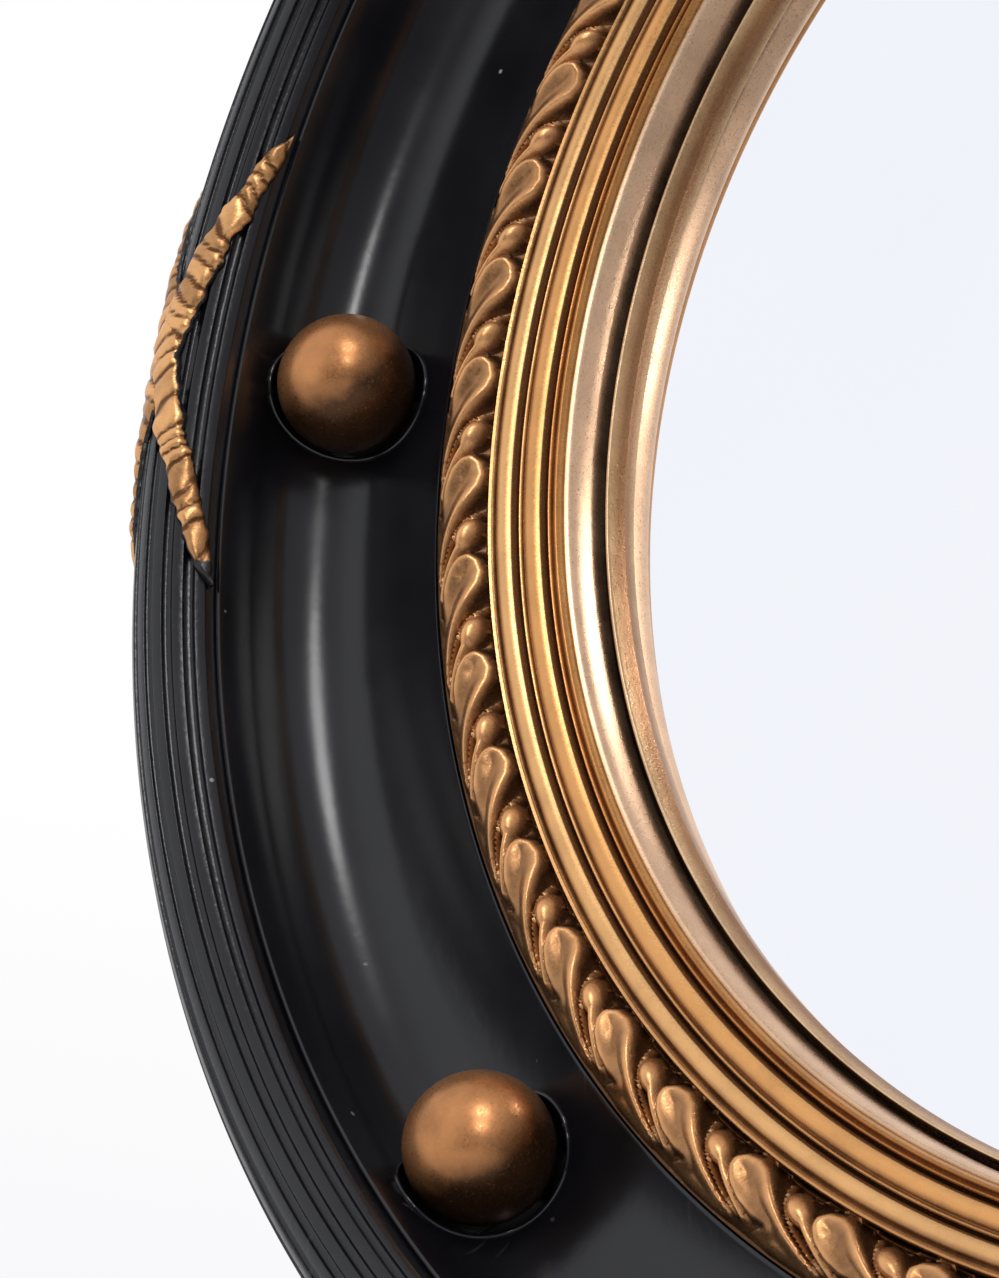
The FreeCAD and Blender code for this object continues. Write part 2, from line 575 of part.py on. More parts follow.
def ribbon_band(way):
    bars = [ribbon_bar(way, step / RIBBON_STEPS) for step in range(-RIBBON_STEPS, RIBBON_STEPS + 1)]
    return Part.makeLoft(bars, True, True)


crossed = ribbon_band(1).fuse(ribbon_band(-1))
for index in range(int(value("ribbon_count"))):
    name = f"ribbon_cross_{index + 1}"
    nodes[name] = doc.addObject("Part::Feature", name)
    nodes[name].Shape = crossed
    turn = FreeCAD.Rotation(FreeCAD.Vector(0, 1, 0), 360 * index / value("ribbon_count"))
    nodes[name].Placement = FreeCAD.Placement(FreeCAD.Vector(), turn)

# ---------------------------------------------------------------- ring hangers on the back

LOOP_RADIUS = "(wire_radius + bar_fit + strap_thickness)"
hanger_screws = []


def loop_rod(name, radius, across):
    """A rod along the ring bar, as wide as the strap."""
    rod = bind(doc.addObject("Part::Cylinder", name), Radius=radius, Height="strap_width")
    rod.Placement = FreeCAD.Placement(FreeCAD.Vector(), FreeCAD.Rotation(FreeCAD.Vector(0, 1, 0), 90))
    return bind(rod, Placement__Base__x=f"{across} - strap_width / 2", Placement__Base__y=f"-{RING_BAR}",
                Placement__Base__z=HANGER_HEIGHT)


def hanger_strap(side, across):
    """A steel strap folded into a loop round the ring bar, with two screw holes and a round end."""
    name = f"hanger_strap_{side}"
    strap_back = f"{BACK} - strap_thickness"
    end_height = f"{HANGER_HEIGHT} - strap_length + strap_width / 2"
    plate = bind(doc.addObject("Part::Box", f"{name}_plate"), Length="strap_width", Width="strap_thickness",
                 Height="strap_length - strap_width / 2", Placement__Base__x=f"{across} - strap_width / 2",
                 Placement__Base__y=f"-{BACK}", Placement__Base__z=end_height)
    end = cylinder(f"{name}_end", "strap_width / 2", "strap_thickness", across, strap_back, end_height)
    loop = loop_rod(f"{name}_loop", LOOP_RADIUS, across)
    bore = loop_rod(f"{name}_bore", "wire_radius + bar_fit", across)
    holes = [cylinder(f"{name}_hole_{number}", "screw_radius + pin_fit", "strap_thickness", across,
                      strap_back, height)
             for number, height in enumerate(HANGER_SCREWS, start=1)]
    solid = joined(f"{name}_solid", "Part::MultiFuse", [plate, end, loop])
    return cut(name, solid, joined(f"{name}_openings", "Part::MultiFuse", [bore, *holes]))


def hanger_ring(side, across):
    """A D of steel wire that hangs from its straight bar."""
    name = f"hanger_ring_{side}"
    low, bend = "ring_leg", "ring_corner_radius"
    body, path = new_body(name, "XZ_Plane", [
        ("0", "0"),
        (f"ring_radius - {bend}", "0", bend, -1),
        ("ring_radius", bend),
        ("ring_radius", low, "ring_radius", -1),
        ("0", f"{low} + ring_radius", "ring_radius", -1),
        ("-ring_radius", low),
        ("-ring_radius", bend, bend, -1),
        (f"-(ring_radius - {bend})", "0"),
    ])
    section = new_sketch(body, f"{name}_wire", "YZ_Plane")
    wire = section.addGeometry(Part.Circle(FreeCAD.Vector(), FreeCAD.Vector(0, 0, 1), value("wire_radius")))
    section.addConstraint(Sketcher.Constraint("Coincident", wire, 3, -1, 1))
    pin(section, Sketcher.Constraint("Radius", wire, value("wire_radius")), "wire_radius")
    bent = body.newObject("PartDesign::AdditivePipe", f"{name}_bent")
    bent.Profile = section
    bent.Spine = path
    return bind(body, Placement__Base__x=across, Placement__Base__y=f"-{RING_BAR}",
                Placement__Base__z=HANGER_HEIGHT)


for side, across in HANGERS.items():
    nodes[f"hanger_strap_{side}"] = hanger_strap(side, across)
    nodes[f"hanger_ring_{side}"] = hanger_ring(side, across)
    for number, height in enumerate(HANGER_SCREWS, start=1):
        hanger_screws.append(screw(f"hanger_screw_{side}_{number}", "hanger_screw_length", across,
                                   f"({BACK} - strap_thickness)", height))
nodes["hanger_screws"] = joined("hanger_screws", "Part::Compound", hanger_screws)

# ---------------------------------------------------------------- rubber bumpers at the foot of the back

bumper_screws = []
for side, (across, height) in BUMPERS.items():
    name = f"bumper_{side}"
    rubber = bind(doc.addObject("Part::Cone", f"{name}_rubber"), Radius1="bumper_radius - bumper_taper",
                  Radius2="bumper_radius", Height="bumper_height")
    recess = cylinder(f"{name}_recess", "screw_head_radius + screw_head_taper", "bumper_height - bumper_web",
                      across, "0", height)
    hole = cylinder(f"{name}_hole", "screw_radius + pin_fit", "bumper_height", across, "0", height)
    nodes[name] = cut(name, place(rubber, across, "0", height),
                      joined(f"{name}_openings", "Part::MultiFuse", [recess, hole]))
    bumper_screws.append(screw(f"bumper_screw_{side}", "hanger_screw_length", across,
                               "(bumper_height - bumper_web)", height))
nodes["bumper_screws"] = joined("bumper_screws", "Part::Compound", bumper_screws)

# ---------------------------------------------------------------- check and write every piece

doc.recompute()
faults = [item.Name for item in doc.Objects if {"Invalid", "Error"} & set(item.State)]
faults += [name for name, item in nodes.items() if item.Shape.isNull() or not item.Shape.isValid()]
if faults:
    raise RuntimeError(f"these pieces failed: {faults}")

os.makedirs("parts", exist_ok=True)
for name, item in nodes.items():
    item.Label = name
    item.Shape.exportStep(f"parts/{name}.step")
print(len(nodes), "pieces written")
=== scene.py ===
"""Convex butler's mirror: the finish of every surface, piece by piece, as it is put together.

Sections are given in millimetres, by radius from the mirror's axis and by depth in front of the wall.
The front faces -Y and +Z is up.
"""
import bmesh
import bpy
import math
from mathutils import Matrix, Vector, noise


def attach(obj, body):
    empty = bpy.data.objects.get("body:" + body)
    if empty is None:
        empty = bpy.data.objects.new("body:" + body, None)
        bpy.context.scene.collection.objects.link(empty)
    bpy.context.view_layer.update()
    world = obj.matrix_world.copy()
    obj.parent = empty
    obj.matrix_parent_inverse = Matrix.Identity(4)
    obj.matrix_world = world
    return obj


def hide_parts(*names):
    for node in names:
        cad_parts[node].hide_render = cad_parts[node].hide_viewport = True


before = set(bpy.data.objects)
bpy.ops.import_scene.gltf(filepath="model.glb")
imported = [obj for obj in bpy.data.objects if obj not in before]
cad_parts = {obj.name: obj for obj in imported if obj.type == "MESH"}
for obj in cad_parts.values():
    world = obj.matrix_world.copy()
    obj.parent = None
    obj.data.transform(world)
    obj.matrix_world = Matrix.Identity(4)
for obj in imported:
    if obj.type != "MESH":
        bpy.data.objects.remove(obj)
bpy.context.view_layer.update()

# ---------------------------------------------------------------- carcase
# The wooden ring that carries everything, turned as one deep cove and sprayed with black lacquer.
# A ball cutter scooped the eight sockets out of it, and lacquer has gathered round each as a glossy lip.

MM = 0.001
STEPS = 384
SLIGHT_BEND, EASE_SHARE = 12, 0.45
MERGE, CLOSE, TOUCHING, NEARBY, FEWEST_POINTS = 0.002, 0.01, 1.003, 1.2, 20
WALL_RADIUS, WALL_TAPER, BACK, SEAT = 198.2, 1.5, 8.0, 48.1
LIP_OUTSIDE, COVE_RADIUS, LIP_TOP = 186.15, 185.35, 54.68
CORNER_RADIUS, COVE_FLOOR, CORNER_STEPS, FLOOR_STEPS = 13.0, 34.08, 26, 20
COVE_INSIDE, COVE_FOOT, MOULDING_SEAT = 156.75, 37.48, 24.18
GLASS_REBATE, BOARD_REBATE, BOARD_FRONT = 137.7, 147.0, 12.5
BALL_CIRCLE, BALL_DEPTH, BALL_RADIUS, SOCKET_RADIUS = 174.5, 41.88, 10.94, 12.44
BALL_COUNT, LIP_BEAD = 8, 0.42


def seen(across, depth, height):
    """A place in metres from millimetres to the right, in front of the wall and up."""
    return Vector((across, -depth, height)) * MM


def round_axis(radius, depth, degrees):
    """A place at an angle from the top, clockwise as seen from the front."""
    turn = math.radians(degrees)
    return seen(radius * math.sin(turn), depth, radius * math.cos(turn))


def arc(centre, radius, start, end, steps):
    """Points along an arc of a section, with degrees counted from outwards to the front."""
    angles = [math.radians(start + (end - start) * step / steps) for step in range(steps + 1)]
    return [(centre[0] + radius * math.cos(angle), centre[1] + radius * math.sin(angle)) for angle in angles]


def eased(corners, ease, rounds=2):
    """A closed section with each corner rounded off, as paint and sanding leave it."""
    points = []
    for index, corner in enumerate(corners):
        here = Vector(corner)
        before = Vector(corners[index - 1]) - here
        after = Vector(corners[(index + 1) % len(corners)]) - here
        if math.degrees(math.pi - before.angle(after)) < SLIGHT_BEND:
            points.append(corner)
            continue
        start = here + before.normalized() * min(ease, before.length * EASE_SHARE)
        end = here + after.normalized() * min(ease, after.length * EASE_SHARE)
        for step in range(rounds + 1):
            share = step / rounds
            points.append(tuple(start * (1 - share) ** 2 + here * 2 * share * (1 - share) + end * share ** 2))
    return points


def placed(name, content):
    """A new object in the scene."""
    thing = bpy.data.objects.new(name, content)
    bpy.context.collection.objects.link(thing)
    return thing


def coat(mesh, material):
    """Give a mesh one material."""
    mesh.materials.clear()
    mesh.materials.append(material)


def finished(name, mesh, material, slot, *replaced, crease=32):
    """A piece of the frame: smooth, with its material and in place of the plain nodes; its slot is not used.
    """
    body = bmesh.new()
    body.from_mesh(mesh)
    bmesh.ops.remove_doubles(body, verts=body.verts, dist=MERGE * MM)
    bmesh.ops.recalc_face_normals(body, faces=body.faces)
    body.to_mesh(mesh)
    body.free()
    mesh.shade_smooth()
    mesh.set_sharp_from_angle(angle=math.radians(crease))
    coat(mesh, material)
    piece = placed(name, mesh)
    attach(piece, "frame")
    if replaced:
        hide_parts(*replaced)
    return piece


def built(name, places, faces, **stored):
    """A mesh from its places and faces, with any values that are stored at its points."""
    mesh = bpy.data.meshes.new(name)
    mesh.from_pydata(places, [], faces)
    for label, values in stored.items():
        mesh.attributes.new(label, "FLOAT", "POINT").data.foreach_set("value", values)
    return mesh


def turned(name, outline, steps=STEPS):
    """A mesh turned about the mirror's axis from a closed section."""
    count = len(outline)
    places = [round_axis(radius, depth, 360 * step / steps)
              for step in range(steps) for radius, depth in outline]
    faces = [(step * count + index, step * count + (index + 1) % count,
              (step + 1) % steps * count + (index + 1) % count, (step + 1) % steps * count + index)
             for step in range(steps) for index in range(count)]
    return built(name, places, faces)


def evaluated(mesh, set_up):
    """A plain mesh from a mesh with modifiers that a function adds."""
    carrier = placed(f"{mesh.name}_raw", mesh)
    set_up(carrier)
    seen_now = carrier.evaluated_get(bpy.context.evaluated_depsgraph_get())
    result = bpy.data.meshes.new_from_object(seen_now)
    result.name = mesh.name
    bpy.data.objects.remove(carrier)
    return result


def feed(tree, made, sockets):
    """Set a node's inputs to values, or link them from other sockets."""
    for key, content in sockets.items():
        if isinstance(content, bpy.types.NodeSocket):
            tree.links.new(content, made.inputs[key])
        else:
            made.inputs[key].default_value = content
    return made


def node(tree, kind, sockets=None, **properties):
    """A node with its properties set and its inputs fed."""
    made = tree.nodes.new(kind)
    for name, choice in properties.items():
        setattr(made, name, choice)
    return feed(tree, made, sockets or {})


def blank_material(name):
    """A new material with its Principled shader and a socket of Object coordinates."""
    material = bpy.data.materials.new(name)
    material.use_nodes = True
    tree = material.node_tree
    shader = next(item for item in tree.nodes if item.type == "BSDF_PRINCIPLED")
    place = node(tree, "ShaderNodeTexCoord").outputs["Object"]
    return material, tree, shader, place


def between(tree, low, high, value, start=0.0, end=1.0):
    """A value carried over from one range to another, from 0 to 1 unless told otherwise."""
    made = node(tree, "ShaderNodeMapRange", {"Value": value, "From Min": low, "From Max": high,
                                             "To Min": start, "To Max": end})
    return made.outputs["Result"]


def clouds(tree, place, scale, detail, roughness=0.5):
    """Soft noise over a piece, from 0 to 1."""
    return node(tree, "ShaderNodeTexNoise", {"Vector": place, "Scale": scale, "Detail": detail,
                                             "Roughness": roughness}).outputs[0]


def emboss(tree, shader, height, distance, strength=1.0):
    """Raise a surface by a mask of heights, over any relief that it has already."""
    relief = node(tree, "ShaderNodeBump", {"Height": height, "Strength": strength, "Distance": distance * MM})
    if shader.inputs["Normal"].is_linked:
        tree.links.new(shader.inputs["Normal"].links[0].from_socket, relief.inputs["Normal"])
    tree.links.new(relief.outputs[0], shader.inputs["Normal"])


def times(tree, first, second, operation="MULTIPLY"):
    """Two values multiplied, or joined by another operation, and kept between 0 and 1."""
    return node(tree, "ShaderNodeMath", {0: first, 1: second}, operation=operation, use_clamp=True).outputs[0]


def mixed(tree, share, first, second):
    """A colour between two colours."""
    made = node(tree, "ShaderNodeMix", {"Factor": share}, data_type="RGBA")
    for socket, colour in zip([item for item in made.inputs if item.type == "RGBA"], (first, second)):
        if isinstance(colour, bpy.types.NodeSocket):
            tree.links.new(colour, socket)
        else:
            socket.default_value = (*colour, 1)
    return next(item for item in made.outputs if item.type == "RGBA")


def blank_group(name, kind, inputs, outputs):
    """A new node group with its sockets, and the nodes where it is entered and left."""
    group = bpy.data.node_groups.new(name, kind)
    for way, sockets in (("INPUT", inputs), ("OUTPUT", outputs)):
        for label, held in sockets.items():
            group.interface.new_socket(label, in_out=way, socket_type=f"NodeSocket{held}")
    return group, node(group, "NodeGroupInput"), node(group, "NodeGroupOutput")


def dust_and_scratches():
    """Handling marks: a mask of dust specks, one of hair scratches, and a fine orange-peel height."""
    group, entry, leave = blank_group("handling marks", "ShaderNodeTree",
                                      {"Place": "Vector", "Peel Scale": "Float"},
                                      {"Dust": "Float", "Scratches": "Float", "Peel": "Float"})
    place = entry.outputs["Place"]
    specks = node(group, "ShaderNodeTexVoronoi", {"Vector": place, "Scale": 150.0})
    chosen = node(group, "ShaderNodeSeparateColor", {"Color": specks.outputs["Color"]}).outputs[0]
    small = between(group, 0.07, 0.03, specks.outputs["Distance"])
    drawn_out = node(group, "ShaderNodeMapping", {"Vector": place, "Rotation": (0.3, 0.5, 0.45),
                                                  "Scale": (700.0, 90.0, 14.0)})
    lines = between(group, 0.70, 0.76, clouds(group, drawn_out.outputs[0], 1.0, 1.0))
    rare = between(group, 0.50, 0.62, clouds(group, place, 26.0, 1.0))
    feed(group, leave, {"Dust": times(group, small, between(group, 0.80, 0.86, chosen)),
                        "Scratches": times(group, lines, rare),
                        "Peel": clouds(group, place, entry.outputs["Peel Scale"], 3.0)})
    return group


marks = dust_and_scratches()


def lacquer(name, roughness, peel_scale, peel_height):
    """Black satin lacquer over sanded wood, with specks of dust caught in it."""
    material, tree, shader, place = blank_material(name)
    spoiled = node(tree, "ShaderNodeGroup", node_tree=marks)
    feed(tree, spoiled, {"Place": place, "Peel Scale": peel_scale})
    dust, scratches = spoiled.outputs["Dust"], spoiled.outputs["Scratches"]
    uneven = clouds(tree, place, 45.0, 4.0)
    black = mixed(tree, between(tree, 0.35, 0.75, uneven), (0.0035, 0.0035, 0.0045), (0.010, 0.0098, 0.012))
    scratched = mixed(tree, times(tree, scratches, 0.5), black, (0.05, 0.05, 0.055))
    rough = between(tree, 0.3, 0.7, uneven, roughness, roughness + 0.07)
    rough = times(tree, rough, times(tree, scratches, 0.22), "ADD")
    feed(tree, shader, {"Base Color": mixed(tree, dust, scratched, (0.34, 0.33, 0.32)),
                        "Roughness": times(tree, rough, times(tree, dust, 0.4), "ADD")})
    emboss(tree, shader, spoiled.outputs["Peel"], peel_height)
    emboss(tree, shader, dust, 0.12, 0.7)
    return material


black_cove = lacquer("black cove lacquer", roughness=0.17, peel_scale=420.0, peel_height=0.018)

shallow_width = COVE_RADIUS - CORNER_RADIUS - COVE_INSIDE
shallow_dip = COVE_FOOT - COVE_FLOOR
shallow_radius = (shallow_width ** 2 + shallow_dip ** 2) / (2 * shallow_dip)
shallow_turn = math.degrees(math.asin(shallow_width / shallow_radius))
corner_centre = (COVE_RADIUS - CORNER_RADIUS, COVE_FLOOR + CORNER_RADIUS)
shallow_centre = (corner_centre[0], COVE_FLOOR + shallow_radius)
carcase_section = eased([
    (WALL_RADIUS - WALL_TAPER, BACK), (WALL_RADIUS, SEAT), (LIP_OUTSIDE, SEAT), (LIP_OUTSIDE, LIP_TOP),
    (COVE_RADIUS, LIP_TOP),
    *arc(corner_centre, CORNER_RADIUS, 0, -90, CORNER_STEPS),
    *arc(shallow_centre, shallow_radius, -90, -90 - shallow_turn, FLOOR_STEPS)[1:],
    (COVE_INSIDE, MOULDING_SEAT), (GLASS_REBATE, MOULDING_SEAT), (GLASS_REBATE, BOARD_FRONT),
    (BOARD_REBATE, BOARD_FRONT), (BOARD_REBATE, BACK),
], ease=0.3)
ball_angles = [360 * index / BALL_COUNT for index in range(BALL_COUNT)]
ball_centres = [round_axis(BALL_CIRCLE, BALL_DEPTH, angle) for angle in ball_angles]


def scoop_sockets(carrier):
    """Cut the eight ball sockets out of the cove."""
    rough = bmesh.new()
    for centre in ball_centres:
        bmesh.ops.create_uvsphere(rough, u_segments=72, v_segments=36, radius=SOCKET_RADIUS * MM,
                                  matrix=Matrix.Translation(centre) @ Matrix.Rotation(math.pi / 2, 4, "X"))
    cutter_mesh = bpy.data.meshes.new("socket_cutter")
    rough.to_mesh(cutter_mesh)
    rough.free()
    cutter = placed("socket_cutter", cutter_mesh)
    scoop = carrier.modifiers.new("scoop", "BOOLEAN")
    scoop.operation, scoop.solver, scoop.object = "DIFFERENCE", "EXACT", cutter


carcase_mesh = evaluated(turned("cove_frame_lacquered", carcase_section), scoop_sockets)
bpy.data.objects.remove(bpy.data.objects["socket_cutter"])


def in_socket(face, centre):
    """Whether a face is part of a socket's bowl."""
    spread = SOCKET_RADIUS * MM * TOUCHING
    return all((corner.co - centre).length < spread for corner in face.verts)


def lip_edges(mesh):
    """Chains of points along the rim of each socket."""
    body = bmesh.new()
    body.from_mesh(mesh)
    bmesh.ops.remove_doubles(body, verts=body.verts, dist=CLOSE * MM)
    chains = []
    for centre in ball_centres:
        reach = SOCKET_RADIUS * MM * NEARBY
        edges = [edge for edge in body.edges if len(edge.link_faces) == 2
                 and (edge.verts[0].co - centre).length < reach
                 and in_socket(edge.link_faces[0], centre) != in_socket(edge.link_faces[1], centre)]
        links = {}
        for edge in edges:
            for first, second in (edge.verts, reversed(edge.verts)):
                links.setdefault(first.index, []).append(second.index)
        unseen = set(links)
        while unseen:
            chain = [unseen.pop()]
            while True:
                onward = [item for item in links[chain[-1]] if item in unseen]
                if not onward:
                    break
                chain.append(onward[0])
                unseen.remove(onward[0])
            if len(chain) > FEWEST_POINTS:
                body.verts.ensure_lookup_table()
                chains.append([body.verts[index].co.copy() for index in chain])
    body.free()
    return chains


def bead_along(name, chains, radius, material):
    """A round bead laid along closed chains of points."""
    line = bpy.data.curves.new(name, "CURVE")
    line.dimensions = "3D"
    line.bevel_depth = radius * MM
    line.bevel_resolution = 3
    for chain in chains:
        spline = line.splines.new("POLY")
        spline.points.add(len(chain) - 1)
        for point, place in zip(spline.points, chain):
            point.co = (*place, 1)
        spline.use_cyclic_u = True
    carrier = placed(f"{name}_line", line)
    mesh = bpy.data.meshes.new_from_object(carrier.evaluated_get(bpy.context.evaluated_depsgraph_get()))
    mesh.name = name
    bpy.data.objects.remove(carrier)
    coat(mesh, material)
    return mesh


socket_rims = lip_edges(carcase_mesh)
finished("cove_frame_lacquered", carcase_mesh, black_cove, "black_lacquer", "cove_frame", crease=28)
pooled = lacquer("pooled lacquer", roughness=0.08, peel_scale=300.0, peel_height=0.03)
finished("socket_lips", bead_along("socket_lips", socket_rims, LIP_BEAD, pooled), pooled, "black_lacquer",
         crease=80)

# ---------------------------------------------------------------- reeded rim
# A half-round hoop glued on the carcase, cut with eight flat fillets and hollows and lacquered with it.
# The lacquer is thicker here, so its orange peel shows and the fillets' edges glint.

RIM_RADIUS, RIM_DEPTH, RIM_SECTION = 194.2, 52.18, 8.4
FILLETS, FILLET_DEGREES, FIRST_FILLET, RIM_SEAT_DEGREES = 8, 12.4, 145.5, 29.0
HOLLOW_DEPTH, LIP_GROOVE = 0.75, 0.9
FILLET_DROP, FILLET_DISH, ARRIS_DEGREES = 0.12, 0.10, 0.9

last_fillet = FILLET_DEGREES / 2 - RIM_SEAT_DEGREES
fillet_pitch = (FIRST_FILLET - last_fillet) / (FILLETS - 1)


def on_rim(degrees, rise=0.0):
    """A point of the rim's round section, at an angle counted from outwards to the front."""
    turn = math.radians(degrees)
    reach = RIM_SECTION + rise
    return RIM_RADIUS + reach * math.cos(turn), RIM_DEPTH + reach * math.sin(turn)


rim_section = [(LIP_OUTSIDE, SEAT), (LIP_OUTSIDE, LIP_TOP - LIP_GROOVE)]
for index in range(FILLETS):
    middle = FIRST_FILLET - index * fillet_pitch
    half, gap = FILLET_DEGREES / 2, (fillet_pitch - FILLET_DEGREES) / 2
    rim_section += [on_rim(middle + half, -FILLET_DROP), on_rim(middle + half - ARRIS_DEGREES),
                    on_rim(middle, -FILLET_DISH), on_rim(middle - half + ARRIS_DEGREES),
                    on_rim(middle - half, -FILLET_DROP)]
    if index < FILLETS - 1:
        rim_section += [on_rim(middle - half - gap * (1 - math.cos(math.pi * share)),
                               -FILLET_DROP - HOLLOW_DEPTH * math.sin(math.pi * share) ** 0.7)
                        for share in (0.1, 0.25, 0.4, 0.6, 0.75, 0.9)]
black_rim = lacquer("black rim lacquer", roughness=0.22, peel_scale=900.0, peel_height=0.05)
finished("reeded_rim_lacquered", turned("reeded_rim_lacquered", eased(rim_section, ease=0.07, rounds=1)),
         black_rim, "black_lacquer", "reeded_rim", crease=50)

# ---------------------------------------------------------------- sight moulding
# A ring of three gilt reeds and a steep smooth band, with a bead and a quirk between the reeds.
# It is gilded copper-gold and wiped with a brown wash that stays in the quirks, and each reed carries painted
# light and shade across it.

BORE_RADIUS, BAND_START, BAND_TOP_RADIUS, BAND_TOP = 132.0, 29.38, 133.7, 35.58
REED_EDGES = (133.7, 135.7, 140.2, 144.5)
REED_STEP, REED_CROWN = 1.25, 0.9
TROUGH_RADIUS, TROUGH_FLOOR, MOULDING_RADIUS = 145.2, 33.38, 156.6
QUIRK, FIRST_QUIRK, REED_END, WANDER = 0.75, 0.15, 0.85, 0.05


def toned_gilding():
    """Gold leaf under a brown wash and painted shade: a colour, a roughness mask and a height, from a mask of
    wash and shade.
    """
    group, entry, leave = blank_group(
        "toned gilding", "ShaderNodeTree",
        {"Place": "Vector", "Gold": "Color", "Wash and Shade Colour": "Color", "Wash and Shade Mask": "Float", "Mottle Scale": "Float"},
        {"Colour": "Color", "Roughness": "Float", "Height": "Float"})
    mottle = clouds(group, entry.outputs["Place"], entry.outputs["Mottle Scale"], 5.0, 0.65)
    grain = clouds(group, entry.outputs["Place"], 2600.0, 2.0)
    stain = times(group, between(group, 0.70, 0.34, mottle), 0.26)
    wash = times(group, times(group, entry.outputs["Wash and Shade Mask"], stain, "ADD"), 0.10, "SUBTRACT")
    toned = mixed(group, wash, entry.outputs["Gold"], entry.outputs["Wash and Shade Colour"])
    specks = times(group, between(group, 0.60, 0.75, grain), 0.14)
    feed(group, leave, {"Colour": mixed(group, specks, toned, (0.90, 0.58, 0.30)),
                        "Roughness": between(group, 0.3, 0.7, grain, 0.25, 0.42),
                        "Height": times(group, times(group, grain, 0.6), times(group, mottle, 0.4), "ADD")})
    return group


gilding = toned_gilding()


def gilt(name, gold, wash, wash_and_shade_mask, mottle_scale, relief=0.02, metal=0.8):
    """A gilt material; its mask of wash and painted shade comes from a function of its tree and its
    coordinates.
    """
    material, tree, shader, place = blank_material(name)
    toned = node(tree, "ShaderNodeGroup", node_tree=gilding)
    feed(tree, toned, {"Place": place, "Wash and Shade Mask": wash_and_shade_mask(tree, place), "Wash and Shade Colour": (*wash, 1),
                       "Mottle Scale": mottle_scale,
                       "Gold": gold(tree, place) if callable(gold) else (*gold, 1)})
    feed(tree, shader, {"Base Color": toned.outputs["Colour"], "Roughness": toned.outputs["Roughness"],
                        "Metallic": metal})
    emboss(tree, shader, toned.outputs["Height"], relief)
    return material


def radius_of(tree, place):
    """Distance from the mirror's axis, with the slight wander of a hand-wiped line."""
    parts = node(tree, "ShaderNodeSeparateXYZ", {"Vector": place})
    flat = node(tree, "ShaderNodeCombineXYZ", {"X": parts.outputs["X"], "Z": parts.outputs["Z"]})
    length = node(tree, "ShaderNodeVectorMath", {0: flat.outputs[0]}, operation="LENGTH").outputs["Value"]
    swing = between(tree, 0.0, 1.0, clouds(tree, place, 130.0, 2.0), -WANDER * MM, WANDER * MM)
    return node(tree, "ShaderNodeMath", {0: length, 1: swing}, operation="ADD").outputs[0]


def along_radius(tree, place, stops):
    """A ramp over radii in millimetres."""
    first, last = stops[0][0], stops[-1][0]
    share = between(tree, first * MM, last * MM, radius_of(tree, place))
    ramp = node(tree, "ShaderNodeValToRGB", {"Fac": share})
    bands = ramp.color_ramp.elements
    bands[0].color, bands[1].color = (*stops[0][1], 1), (*stops[-1][1], 1)
    for radius, colour in stops[1:-1]:
        bands.new((radius - first) / (last - first)).color = (*colour, 1)
    return ramp.outputs["Color"]


def reed_colours_and_painted_light(tree, place):
    """Pale champagne band, then reeds from deep orange inside to light gold outside, each with painted light
    and shade across it, and painted shade at the bore.
    """
    # Painted light and shade: each reed is lighter on its inner side and darker on its outer side, and the
    # bore is near black as painted shade in the gap before the slip.
    return along_radius(tree, place, [
        (131.9, (0.03, 0.012, 0.006)), (131.98, (0.04, 0.016, 0.008)), (132.03, (0.84, 0.53, 0.32)),
        (133.3, (0.88, 0.60, 0.39)), (133.75, (0.70, 0.33, 0.10)),
        (135.2, (0.58, 0.22, 0.055)), (136.8, (0.84, 0.43, 0.15)), (139.0, (0.74, 0.34, 0.11)),
        (141.2, (0.88, 0.50, 0.20)), (143.6, (0.78, 0.40, 0.15)), (145.2, (0.80, 0.42, 0.16))])


def reed_wash_and_shade(tree, place):
    """The brown wash along the quirks between the reeds, and a thinner band of painted shade where each reed
    meets the bead on its outer side and where the band meets the reeds.
    """
    dark, half, light = (1.1, 1.1, 1.1), (0.72, 0.72, 0.72), (0.0, 0.0, 0.0)
    # Painted shade: the half-strength bands; brown wash: the dark quirks outside the beads; dark also at the
    # edge against the gadroon.
    stops = [(131.9, light), (133.6, light), (133.7, half), (133.9, light)]
    for edge in REED_EDGES[1:3]:
        stops += [(edge - 1.75, light), (edge - 0.85, half), (edge - 0.55, half), (edge - 0.32, light),
                  (edge + 0.06, light), (edge + 0.14, dark), (edge + 0.92, dark), (edge + 1.08, light)]
    stops += [(142.7, light), (143.7, half), (144.35, half), (144.7, light), (144.95, light), (145.05, dark),
              (145.2, dark)]
    ramp = along_radius(tree, place, stops)
    return node(tree, "ShaderNodeSeparateColor", {"Color": ramp}).outputs[0]


def reed_crown(inner, outer, start, end, lower, upper, steps=9):
    """Points over a convex reed between two radii."""
    points = []
    for step in range(steps + 1):
        share = step / steps
        radius = start + (end - start) * share
        chord = lower + (upper - lower) * (radius - inner) / (outer - inner)
        points.append((radius, chord + REED_CROWN * math.sin(math.pi * (0.08 + 0.84 * share)) ** 0.75))
    return points


